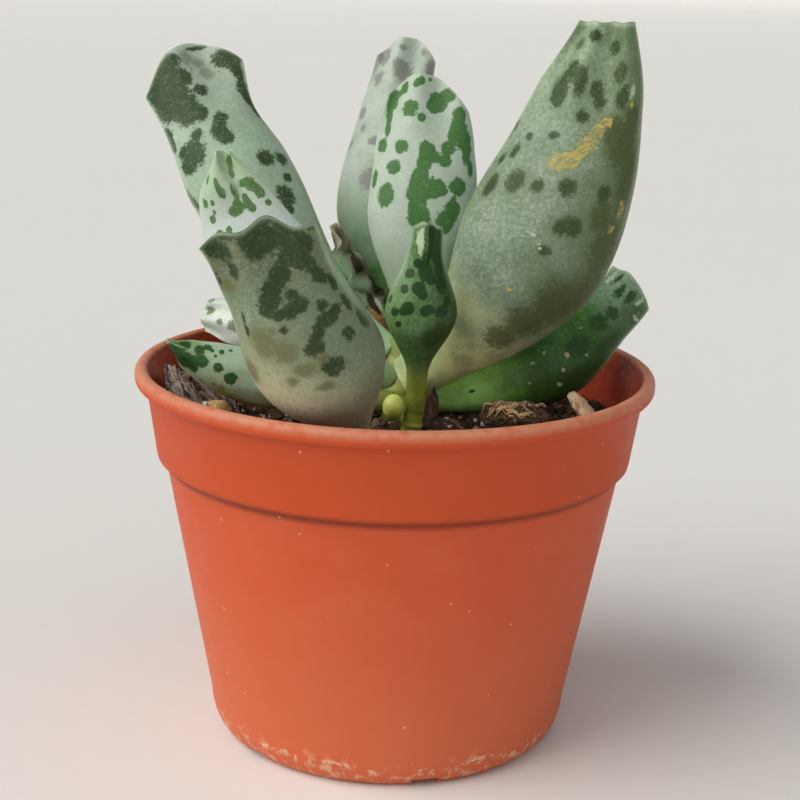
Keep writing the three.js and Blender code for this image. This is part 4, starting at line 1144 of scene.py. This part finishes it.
def surface_points(tree, given, seeded):
    """Points thrown on the upward faces of a surface, round a middle and no further than a reach."""
    place = add(tree, "GeometryNodeInputPosition")
    flat = add(tree, "ShaderNodeVectorMath", {"operation": "SUBTRACT"}, {0: place, 1: given["Middle"]})
    flat = add(tree, "ShaderNodeVectorMath", {"operation": "MULTIPLY"}, {0: flat, 1: (1, 1, 0)})
    away = add(tree, "ShaderNodeVectorMath", {"operation": "LENGTH"}, {0: flat}).outputs["Value"]
    near = add(tree, "FunctionNodeCompare", {"operation": "LESS_THAN"}, {0: away, 1: given["Reach"]})
    upward = add(tree, "ShaderNodeSeparateXYZ", {}, {0: add(tree, "GeometryNodeInputNormal")}).outputs["Z"]
    upward = add(tree, "FunctionNodeCompare", {"operation": "GREATER_THAN"}, {0: upward, 1: 0.25})
    high = add(tree, "ShaderNodeSeparateXYZ", {}, {0: place}).outputs["Z"]
    high = add(tree, "FunctionNodeCompare", {"operation": "GREATER_THAN"}, {0: high, 1: given["Lowest"]})
    chosen = add(tree, "FunctionNodeBooleanMath", {"operation": "AND"}, {0: near, 1: upward})
    chosen = add(tree, "FunctionNodeBooleanMath", {"operation": "AND"}, {0: chosen, 1: high})
    spread = {"Mesh": given["Geometry"], "Selection": chosen, "Density": given["Density"], "Seed": seeded}
    return add(tree, "GeometryNodeDistributePointsOnFaces", {"distribute_method": "RANDOM"}, spread)


SPREAD = {
    "Middle": ("Vector", (0, 0, 0)),
    "Reach": ("Float", 38.6 * MM),
    "Lowest": ("Float", 50 * MM),
    "Density": ("Float", 1e5),
    "Seed": ("Int", 1),
}


def crumbs_tree():
    """Strews shapes over a surface, each turned at random, most of them small."""
    kinds = {
        **SPREAD,
        "Shapes": ("Collection", None),
        "Smallest": ("Float", 0.5 * MM),
        "Largest": ("Float", 2 * MM),
        "Material": ("Material", None),
    }
    tree, given = new_tree("Crumbs", kinds)
    points = surface_points(tree, given, given["Seed"])
    shapes = {"Collection": given["Shapes"], "Separate Children": True, "Reset Children": True}
    shapes = add(tree, "GeometryNodeCollectionInfo", {}, shapes)
    any_way = {"Min": (0, 0, 0), "Max": (math.tau, math.tau, math.tau), "Seed": given["Seed"]}
    any_way = add(tree, "FunctionNodeRandomValue", {"data_type": "FLOAT_VECTOR"}, any_way).outputs[0]
    draw = add(tree, "FunctionNodeRandomValue", {"data_type": "FLOAT"}, {"Seed": 7}).outputs[1]
    few_large = add(tree, "ShaderNodeMath", {"operation": "POWER"}, {0: draw, 1: 2.6})
    size = {0: few_large, 3: given["Smallest"], 4: given["Largest"]}
    size = add(tree, "ShaderNodeMapRange", {}, size)
    strewn = {"Points": points, "Instance": shapes, "Pick Instance": True, "Rotation": any_way, "Scale": size}
    end_tree(tree, add(tree, "GeometryNodeInstanceOnPoints", {}, strewn), given["Material"])
    return tree


def fibres_tree():
    """Lays thin bent fibres over a surface, more or less along one heading."""
    kinds = {
        **SPREAD,
        "Length": ("Float", 9 * MM),
        "Thickness": ("Float", 0.12 * MM),
        "Heading": ("Float", 0.0),
        "Stray": ("Float", math.pi),
        "Wander": ("Float", 3 * MM),
        "Lift": ("Float", 0.5 * MM),
        "Material": ("Material", None),
    }
    tree, given = new_tree("Fibres", kinds)
    points = surface_points(tree, given, given["Seed"])
    half = add(tree, *TIMES, {0: given["Length"], 1: 0.5})
    back = add(tree, *TIMES, {0: half, 1: -1})
    ends = {
        "Start": add(tree, "ShaderNodeCombineXYZ", {}, {"X": back}),
        "End": add(tree, "ShaderNodeCombineXYZ", {}, {"X": half}),
    }
    straight = add(tree, "GeometryNodeCurvePrimitiveLine", {}, ends)
    straight = add(tree, "GeometryNodeResampleCurve", {}, {"Curve": straight, "Count": 12})
    least = add(tree, "ShaderNodeMath", {"operation": "SUBTRACT"}, {0: given["Heading"], 1: given["Stray"]})
    most = add(tree, *PLUS, {0: given["Heading"], 1: given["Stray"]})
    heading = {2: least, 3: most, "Seed": given["Seed"]}
    heading = add(tree, "FunctionNodeRandomValue", {"data_type": "FLOAT"}, heading).outputs[1]
    turned = add(tree, "ShaderNodeCombineXYZ", {}, {"Z": heading})
    size = add(tree, "FunctionNodeRandomValue", {"data_type": "FLOAT"}, {2: 0.35, 3: 1.0, "Seed": 3}).outputs[1]
    laid = {"Points": points, "Instance": straight, "Rotation": turned, "Scale": size}
    laid = add(tree, "GeometryNodeInstanceOnPoints", {}, laid)
    laid = add(tree, "GeometryNodeRealizeInstances", {}, {"Geometry": laid})
    place = add(tree, "GeometryNodeInputPosition")
    sway = add(tree, *NOISE, {"Vector": place, "Scale": per_mm(6), "Detail": 1}).outputs["Color"]
    sway = add(tree, "ShaderNodeVectorMath", {"operation": "SUBTRACT"}, {0: sway, 1: (0.5, 0.5, 0.5)})
    wander = add(tree, "ShaderNodeCombineXYZ", {}, {"X": given["Wander"], "Y": given["Wander"]})
    sway = add(tree, "ShaderNodeVectorMath", {"operation": "MULTIPLY"}, {0: sway, 1: wander})
    swayed = add(tree, "GeometryNodeSetPosition", {}, {"Geometry": laid, "Offset": sway})
    # Each point drops on the surface, and stands a little off it by a slow wave
    above = add(tree, "ShaderNodeVectorMath", {"operation": "ADD"}, {0: place, 1: (0, 0, 12 * MM)})
    drop = {"Target Geometry": given["Geometry"], "Source Position": above, "Ray Direction": (0, 0, -1)}
    drop = add(tree, "GeometryNodeRaycast", {}, drop)
    rise = add(tree, *NOISE, {"Vector": place, "Scale": per_mm(4), "Detail": 1}).outputs[0]
    rise = add(tree, *TIMES, {0: add(tree, *RISE, {0: rise, 1: 0.35, 2: 0.75}), 1: given["Lift"]})
    raised = add(tree, "ShaderNodeCombineXYZ", {}, {"Z": rise})
    landed = {0: drop.outputs["Hit Position"], 1: raised}
    landed = add(tree, "ShaderNodeVectorMath", {"operation": "ADD"}, landed)
    down = {"Geometry": swayed, "Selection": drop.outputs["Is Hit"], "Position": landed}
    down = add(tree, "GeometryNodeSetPosition", {}, down)
    missed = add(tree, "FunctionNodeBooleanMath", {"operation": "NOT"}, {0: drop.outputs["Is Hit"]})
    kept = {"Geometry": swayed, "Selection": missed}
    kept = add(tree, "GeometryNodeDeleteGeometry", {"domain": "POINT"}, kept)
    tree.links.new(kept.outputs[0], down.inputs["Geometry"])
    share = add(tree, "GeometryNodeSplineParameter").outputs["Factor"]
    taper = add(tree, "ShaderNodeMath", {"operation": "PINGPONG"}, {0: share, 1: 0.5})
    taper = add(tree, *RISE, {0: taper, 1: 0, 2: 0.4, 3: 0.3, 4: 1})
    taper = add(tree, *TIMES, {0: taper, 1: given["Thickness"]})
    section = add(tree, "GeometryNodeCurvePrimitiveCircle", {}, {"Resolution": 5, "Radius": 1})
    tube = {"Curve": down, "Profile Curve": section, "Scale": taper, "Fill Caps": True}
    end_tree(tree, add(tree, "GeometryNodeCurveToMesh", {}, tube), given["Material"])
    return tree


def broken_shapes(name, count, size, seed):
    """A hidden collection of small angular crumbs, each the hull of a few points, one unit wide."""
    shapes = bpy.data.collections.new(name)
    draw = np.random.default_rng(seed)
    for i in range(count):
        crumb = bmesh.new()
        for point in unit(draw.normal(size=(16, 3))) * draw.uniform(0.75, 1, (16, 1)) * np.array(size) / 2:
            crumb.verts.new(point)
        hull = bmesh.ops.convex_hull(crumb, input=crumb.verts)
        bmesh.ops.delete(crumb, geom=list(set(hull["geom_interior"] + hull["geom_unused"])), context="VERTS")
        bmesh.ops.recalc_face_normals(crumb, faces=crumb.faces)
        mesh = bpy.data.meshes.new(f"{name}_{i}")
        crumb.to_mesh(mesh)
        crumb.free()
        shapes.objects.link(bpy.data.objects.new(f"{name}_{i}", mesh))
    return shapes


def cad_copy(node, name):
    """A copy of a CAD node's mesh with its loose triangles joined."""
    return outward(new_object(name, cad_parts[node].data.copy()))


def roughened(node, name, cuts, relief, size, seed, rounding=1):
    """A broken piece: the CAD node's shape divided finely, and its skin pushed in and out by noise."""
    piece = cad_copy(node, name)
    shell = bmesh.new()
    shell.from_mesh(piece.data)
    for _ in range(cuts):
        bmesh.ops.subdivide_edges(shell, edges=shell.edges, cuts=1, use_grid_fill=True, smooth=0.3 * rounding)
    shell.normal_update()
    for vert in shell.verts:
        sample = vert.co * per_mm(size) + Vector((seed, 0, 0))
        push = noise.fractal(sample, 0.7, 2.2, 4)
        vert.co += vert.normal * relief * MM * push
    shell.to_mesh(piece.data)
    shell.free()
    piece.data.materials.clear()
    return smooth_faces(piece, 50)


class ADROMISCHUS_OT_pot(bpy.types.Operator):
    """Turns the nursery pot on a lathe and cuts its drain holes and notches"""

    bl_idname = "adromischus.pot"
    bl_label = "Build Pot"

    def execute(self, context):
        looks = context.scene.adromischus_pot
        axle = 1
        outline = outline_curve("pot_outline", pot_outline(), axle)
        plastic = pot_plastic(looks.colour)
        values = {"Outline": outline, "Segments": looks.segments, "Axle": axle * MM, "Material": plastic}
        turned = outward(grown_by(lathe_tree(), "pot_turned", None, values))
        pot = grown_by(openings_tree(), "nursery_pot", turned.data, {"Material": plastic})
        bpy.data.objects.remove(turned)
        bpy.data.objects.remove(outline)
        settle(smooth_faces(pot, 40), "pot_plastic", "pot")
        return {"FINISHED"}


class ADROMISCHUS_OT_soil(bpy.types.Operator):
    """Breaks up the soil's surface and strews crumbs, bark bits, perlite and root fibres over it"""

    bl_idname = "adromischus.soil"
    bl_label = "Build Soil"

    def execute(self, context):
        looks = context.scene.adromischus_soil
        bed = soil_bed("soil_bed")
        bed.data.materials.append(crumbly("potting_soil", "0E0906", "4A3626", 1.1, 0.95, 0.5))
        settle(bed, "soil", "soil")
        dark = crumbly("peat_crumb", "120B08", "6A4E3A", 0.9, 0.95, 0.2)
        bark = crumbly("composted_bark", "7A5638", "DEC09A", 0.8, 0.85, 0.2, (1, 1, 4))
        white = crumbly("perlite", "B9A79C", "EFEAE0", 0.7, 0.8, 0.15)
        peat = crumbly("root_fibre", "5A4636", "C0AC94", 0.6, 0.9, 0.1)
        shred = crumbly("shredded_bark", "2A1E1A", "A8938A", 0.8, 0.85, 0.1)
        angular = broken_shapes("crumb_shapes", 6, (1, 0.8, 0.65), 4)
        flat = broken_shapes("bark_shapes", 6, (1, 0.5, 0.22), 8)
        density = looks.crumbs * 1e4
        largest = looks.largest
        strewn = [
            ("soil_crumbs", angular, dark, 1.0, 0.5 * MM, largest, 1),
            ("bark_crumbs", flat, bark, 0.4, 0.8 * MM, 1.7 * largest, 2),
            ("perlite_crumbs", angular, white, 0.02, 0.7 * MM, 0.8 * largest, 3),
        ]
        tree = crumbs_tree()
        for name, shapes, material, share, smallest, most, seed in strewn:
            values = {
                "Shapes": shapes,
                "Density": density * share,
                "Smallest": smallest,
                "Largest": most,
                "Seed": seed,
                "Material": material,
            }
            settle(smooth_faces(grown_by(tree, name, bed.data, values), 30), "soil")
        fibres = fibres_tree()
        laid = [
            ("root_fibres", (0, 0, 0), 38.4, 2.6e4, 8, 0.11, 0, 180, peat, 11),
            ("shredded_bark_left", (-36, -7, 0), 11, 6e5, 11, 0.24, -58, 16, shred, 12),
        ]
        for name, middle, reach, crowd, length, thickness, heading, stray, material, seed in laid:
            values = {
                "Middle": [c * MM for c in middle],
                "Reach": reach * MM,
                "Density": crowd,
                "Length": length * MM,
                "Thickness": thickness * MM,
                "Heading": math.radians(heading),
                "Stray": math.radians(stray),
                "Seed": seed,
                "Material": material,
            }
            settle(smooth_faces(grown_by(fibres, name, bed.data, values)), "soil")
        return {"FINISHED"}


class ADROMISCHUS_OT_loose(bpy.types.Operator):
    """Roughens the wood chip, the bark and the stone that lie on the soil"""

    bl_idname = "adromischus.loose"
    bl_label = "Build Loose Pieces"

    def execute(self, context):
        wood = crumbly("split_wood", "C08E5C", "F2D2A8", 1.4, 0.75, 0.12, (1, 1, 5))
        bark = crumbly("pine_bark", "6B4E36", "B99A78", 1.0, 0.85, 0.25, (1, 1, 3))
        clump = crumbly("coir_clump", "0C0705", "5E4630", 0.55, 0.9, 0.3, (3, 1, 1))
        strand = crumbly("coir_strand", "4A3624", "DDBB8C", 0.8, 0.9, 0.1)
        stone = crumbly("orange_pebble", "D0842F", "F7CC8C", 2.2, 0.6, 0.06)
        pieces = [
            ("wood_chip", "split_chip", wood, "bark", 3, 0.22, 1.3, 1),
            ("bark_chip", "beige_bark", bark, "bark", 3, 0.3, 1.5, 2),
            ("bark_clump", "fibrous_clump", clump, "bark", 4, 0.75, 1.8, 3),
            ("pebble", "round_pebble", stone, "pebble", 3, 0.12, 2.5, 4),
        ]
        for node, name, material, slot, cuts, relief, size, seed in pieces:
            piece = roughened(node, name, cuts, relief, size, seed)
            piece.data.materials.append(material)
            settle(piece, slot, node)
        low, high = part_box("bark_clump")
        middle = (low + high) / 2
        for vert in bpy.data.objects["fibrous_clump"].data.vertices:
            vert.co.z = low.z + CLUMP_FLATTENED * (vert.co.z - low.z)
        values = {
            "Middle": (middle.x, middle.y, 0),
            "Reach": 4.2 * MM,
            "Lowest": low.z,
            "Density": 9e5,
            "Length": 5 * MM,
            "Thickness": 0.15 * MM,
            "Heading": 0.2,
            "Stray": 1.0,
            "Wander": 3 * MM,
            "Lift": 1.2 * MM,
            "Seed": 21,
            "Material": strand,
        }
        surface = bpy.data.objects["fibrous_clump"].data
        settle(smooth_faces(grown_by(fibres_tree(), "clump_fibres", surface, values)), "bark")
        return {"FINISHED"}


class ADROMISCHUS_OT_stems(bpy.types.Operator):
    """Grows the main stem, the side shoot and its bud"""

    bl_idname = "adromischus.stems"
    bl_label = "Build Stems"

    def execute(self, context):
        skin = stem_skin()
        tree = stem_tree()
        for node, stem in STEMS.items():
            values = {end.title(): [c * MM for c in stem[end]] for end in ("foot", "bend", "top")}
            foot_radius, top_radius = stem["radii"]
            values.update({"Foot Radius": foot_radius * MM, "Top Radius": top_radius * MM, "Material": skin})
            stalk = grown_by(tree, f"{node}_stalk", None, values)
            settle(smooth_faces(outward(stalk), 60), "stem", node)
        settle(bud_piece("round_bud"), "young_leaf", "bud_front")
        return {"FINISHED"}


class ADROMISCHUS_OT_leaves(bpy.types.Operator):
    """Grows every leaf with its spots, and trims it where a neighbour presses against it"""

    bl_idname = "adromischus.leaves"
    bl_label = "Build Leaves"

    def execute(self, context):
        looks = context.scene.adromischus_leaves
        made = {}
        for node, shape in LEAVES.items():
            leaf = {**LEAF_DEFAULTS, **shape}
            blade = leaf_piece(node.replace("leaf_", "") + "_blade", leaf, looks)
            blade.data.materials.append(leaf_wax(node + "_wax", leaf))
            for neighbour in leaf["pressed_by"]:
                trim(blade, made.get(neighbour) or wider_leaf(neighbour, looks))
            made[node] = blade
            slot = {"leaf_front_small": "young_leaf", "leaf_withered": "dry_leaf"}.get(node, "leaf")
            settle(blade, slot, node)
        dry = crumbly("dry_sheath", "4A3426", "B79C7A", 0.5, 0.85, 0.15, (1, 1, 6))
        sheath = leaf_piece("brown_sheath", {**LEAF_DEFAULTS, **SHEATH}, looks)
        sheath.data.materials.append(dry)
        settle(sheath, "dry_leaf", "dried_sheath")
        return {"FINISHED"}


class ADROMISCHUS_OT_stage(bpy.types.Operator):
    """Sets the floor, the soft light and the camera of the photo"""

    bl_idname = "adromischus.stage"
    bl_label = "Set Stage"

    def execute(self, context):
        looks = context.scene.adromischus_stage
        set_floor()
        set_light(looks.light, looks.sky)
        set_camera()
        return {"FINISHED"}


class ADROMISCHUS_PT_panel(bpy.types.Panel):
    """Lists the steps that build the plant"""

    bl_label = "Potted Adromischus"
    bl_idname = "ADROMISCHUS_PT_panel"
    bl_space_type = "VIEW_3D"
    bl_region_type = "UI"
    bl_category = "Adromischus"

    def draw(self, context):
        layout = self.layout
        for operator in OPERATORS:
            layout.operator(operator.bl_idname)
        for group in ("adromischus_pot", "adromischus_leaves", "adromischus_soil", "adromischus_stage"):
            box = layout.box()
            looks = getattr(context.scene, group)
            for name in looks.__annotations__:
                box.prop(looks, name)


def wider_leaf(node, looks):
    """A leaf grown by the clearance all round, to trim a neighbour that is made before it."""
    leaf = {**LEAF_DEFAULTS, **LEAVES[node]}
    for size in ("neck", "belly", "waist", "tip_width", "thickness"):
        leaf[size] += 2 * CLEARANCE
    return leaf_piece("trimmer", leaf, looks)


def trim(piece, tool):
    """Takes the space of a tool out of a piece."""
    cut = piece.modifiers.new("trim", "BOOLEAN")
    cut.object = tool
    cut.operation = "DIFFERENCE"
    cut.solver = "MANIFOLD"
    applied(piece)
    if tool.name.startswith("trimmer"):
        bpy.data.objects.remove(tool)


def soil_bed(name):
    """The soil's body: the CAD soil with its upper face divided finely and broken up."""
    piece = cad_copy("soil", name)
    shell = bmesh.new()
    shell.from_mesh(piece.data)
    top = [f for f in shell.faces if f.normal.z > 0.35 and f.calc_center_median().z > 50 * MM]
    for _ in range(3):
        edges = list({edge for face in top for edge in face.edges})
        split = bmesh.ops.subdivide_edges(shell, edges=edges, cuts=1, use_grid_fill=True)
        top = [f for f in split["geom_inner"] + split["geom"] if isinstance(f, bmesh.types.BMFace)]
        top = [f for f in set(top) if f.is_valid and f.normal.z > 0.35]
    for vert in {v for face in top for v in face.verts}:
        broken = noise.turbulence(vert.co * per_mm(2.4), 4, False) - 0.5
        vert.co.z += 0.9 * MM * broken
        away = math.hypot(vert.co.x - BANK["middle"][0] * MM, vert.co.y - BANK["middle"][1] * MM)
        vert.co.z += BANK["height"] * MM * max(0, 1 - (away / (BANK["reach"] * MM)) ** 2) ** 2
    shell.to_mesh(piece.data)
    shell.free()
    piece.data.materials.clear()
    return smooth_faces(piece, 60)


def bud_piece(name):
    """The bud: an egg of tight young leaves, with a shallow seam between each two."""
    shell = bmesh.new()
    bmesh.ops.create_uvsphere(shell, u_segments=64, v_segments=40, radius=0.5)
    width, depth, height = BUD["size"]
    for vert in shell.verts:
        turn = math.atan2(vert.co.y, vert.co.x)
        seam = abs(math.sin(1.5 * turn + 2.2 * vert.co.z + 0.6)) ** 0.5
        swell = 0.9 + 0.1 * seam
        swell += 0.03 * noise.noise(vert.co * 5)
        vert.co = Vector((vert.co.x * width * swell, vert.co.y * depth * swell, vert.co.z * height))
        vert.co = (vert.co + Vector(BUD["centre"])) * MM
    mesh = bpy.data.meshes.new(name)
    shell.to_mesh(mesh)
    shell.free()
    bud = smooth_faces(outward(new_object(name, mesh)))
    bud.data.materials.append(young_skin())
    return bud


def young_skin():
    """Young growth: thin bright skin, yellow-green and wet looking, darker towards its foot, with pale patches of
    painted sheen.
    """
    material, tree = new_material("young_growth")
    place = add(tree, "ShaderNodeTexCoord").outputs["Object"]
    patch = add(tree, *NOISE, {"Vector": place, "Scale": per_mm(1.4), "Detail": 3}).outputs[0]
    height = add(tree, "ShaderNodeSeparateXYZ", {}, {0: place}).outputs["Z"]
    rising = add(tree, *RISE, {0: height, 1: 56.6 * MM, 2: 60 * MM})
    skin = add(tree, *MIX, {0: rising, 6: linear("909E2A"), 7: linear("DCE87C")})
    sheen = add(tree, *RISE, {0: patch, 1: 0.5, 2: 0.7, 4: 0.5})
    skin = add(tree, *MIX, {0: sheen, 6: skin, 7: linear("E2E89A")})
    bump = add(tree, "ShaderNodeBump", {}, {"Strength": 0.3, "Distance": 0.08 * MM, "Height": patch})
    flesh = {"Subsurface Weight": 0.15, "Subsurface Radius": (0.8, 1, 0.2), "Subsurface Scale": 1.5 * MM}
    skinned = {"Base Color": skin, "Roughness": 0.38, "IOR": 1.45, "Normal": bump, **flesh}
    add(tree, *OUTPUT, {"Surface": add(tree, *SHADER, skinned)})
    return material


def set_floor():
    """A pale painted floor that sweeps up behind the pot in one smooth curve."""
    half, back, bend = 14.0, 12.0, 3.0
    line = [(-30.0, 0.0), (back, 0.0)]
    turns = [math.pi / 2 * i / 24 for i in range(1, 25)]
    line += [(back + bend * math.sin(turn), bend - bend * math.cos(turn)) for turn in turns]
    line.append((back + bend, 9.0))
    points = [(x, y, z) for y, z in line for x in (-half, half)]
    faces = [(2 * i, 2 * i + 1, 2 * i + 3, 2 * i + 2) for i in range(len(line) - 1)]
    mesh = bpy.data.meshes.new("floor")
    mesh.from_pydata(points, [], faces)
    floor = smooth_faces(new_object("floor", mesh))
    material, tree = new_material("pale_paint")
    place = add(tree, "ShaderNodeTexCoord").outputs["Object"]
    cloud = add(tree, *NOISE, {"Vector": place, "Scale": 3, "Detail": 2}).outputs[0]
    tone = add(tree, *MIX, {0: cloud, 6: linear("E6E6E5"), 7: linear("EAEAE9")})
    add(tree, *OUTPUT, {"Surface": add(tree, *SHADER, {"Base Color": tone, "Roughness": 0.9})})
    mesh.materials.append(material)


def set_light(power, sky):
    """A broad soft key light from the left, as in the photo, a weak one from the front, and an even sky."""
    lamps = [("key", power, KEY_FROM, KEY_WIDTH), ("fill", FILL_SHARE * power, FILL_FROM, FILL_WIDTH)]
    for name, strength, place, width in lamps:
        lamp = bpy.data.lights.new(name, "SUN")
        lamp.angle = math.radians(width)
        lamp.energy = strength
        lamp.color = linear("FFFBF4")[:3]
        holder = new_object(name, lamp)
        holder.rotation_euler = Vector(place).to_track_quat("Z", "Y").to_euler()
    world = bpy.data.worlds.new("sky")
    world.use_nodes = True
    shade = world.node_tree.nodes["Background"]
    shade.inputs["Color"].default_value = linear("EEF3FA")
    shade.inputs["Strength"].default_value = sky
    bpy.context.scene.world = world
    bpy.context.scene.view_settings.view_transform = "Standard"


def set_camera():
    """The photo's camera: in front and a little above the lip, looking down at the pot."""
    camera = bpy.data.cameras.new("camera")
    camera.sensor_width = SENSOR_WIDTH
    camera.lens = CAMERA_FOCAL / FRAME_WIDTH * SENSOR_WIDTH
    camera.clip_start = 0.01
    camera.clip_end = 50
    holder = new_object("camera", camera)
    upright = Matrix.Rotation(math.radians(90 - CAMERA_PITCH), 4, "X")
    rolled = Matrix.Rotation(math.radians(CAMERA_ROLL), 4, "Z")
    holder.matrix_world = Matrix.Translation(Vector(CAMERA_PLACE) * MM) @ upright @ rolled
    bpy.context.scene.camera = holder


OPERATORS = (
    ADROMISCHUS_OT_pot,
    ADROMISCHUS_OT_soil,
    ADROMISCHUS_OT_loose,
    ADROMISCHUS_OT_stems,
    ADROMISCHUS_OT_leaves,
    ADROMISCHUS_OT_stage,
)
LOOKS = {
    "adromischus_pot": PotLooks,
    "adromischus_leaves": LeafLooks,
    "adromischus_soil": SoilLooks,
    "adromischus_stage": StageLooks,
}


def register():
    for cls in (*LOOKS.values(), *OPERATORS, ADROMISCHUS_PT_panel):
        bpy.utils.register_class(cls)
    for name, group in LOOKS.items():
        setattr(bpy.types.Scene, name, PointerProperty(type=group))


def unregister():
    for name in LOOKS:
        delattr(bpy.types.Scene, name)
    for cls in (ADROMISCHUS_PT_panel, *reversed(OPERATORS), *reversed(LOOKS.values())):
        bpy.utils.unregister_class(cls)


def main():
    register()
    bpy.ops.adromischus.stage()
    bpy.ops.adromischus.pot()
    bpy.ops.adromischus.soil()
    bpy.ops.adromischus.loose()
    bpy.ops.adromischus.stems()
    bpy.ops.adromischus.leaves()


if __name__ == "__main__":
    main()
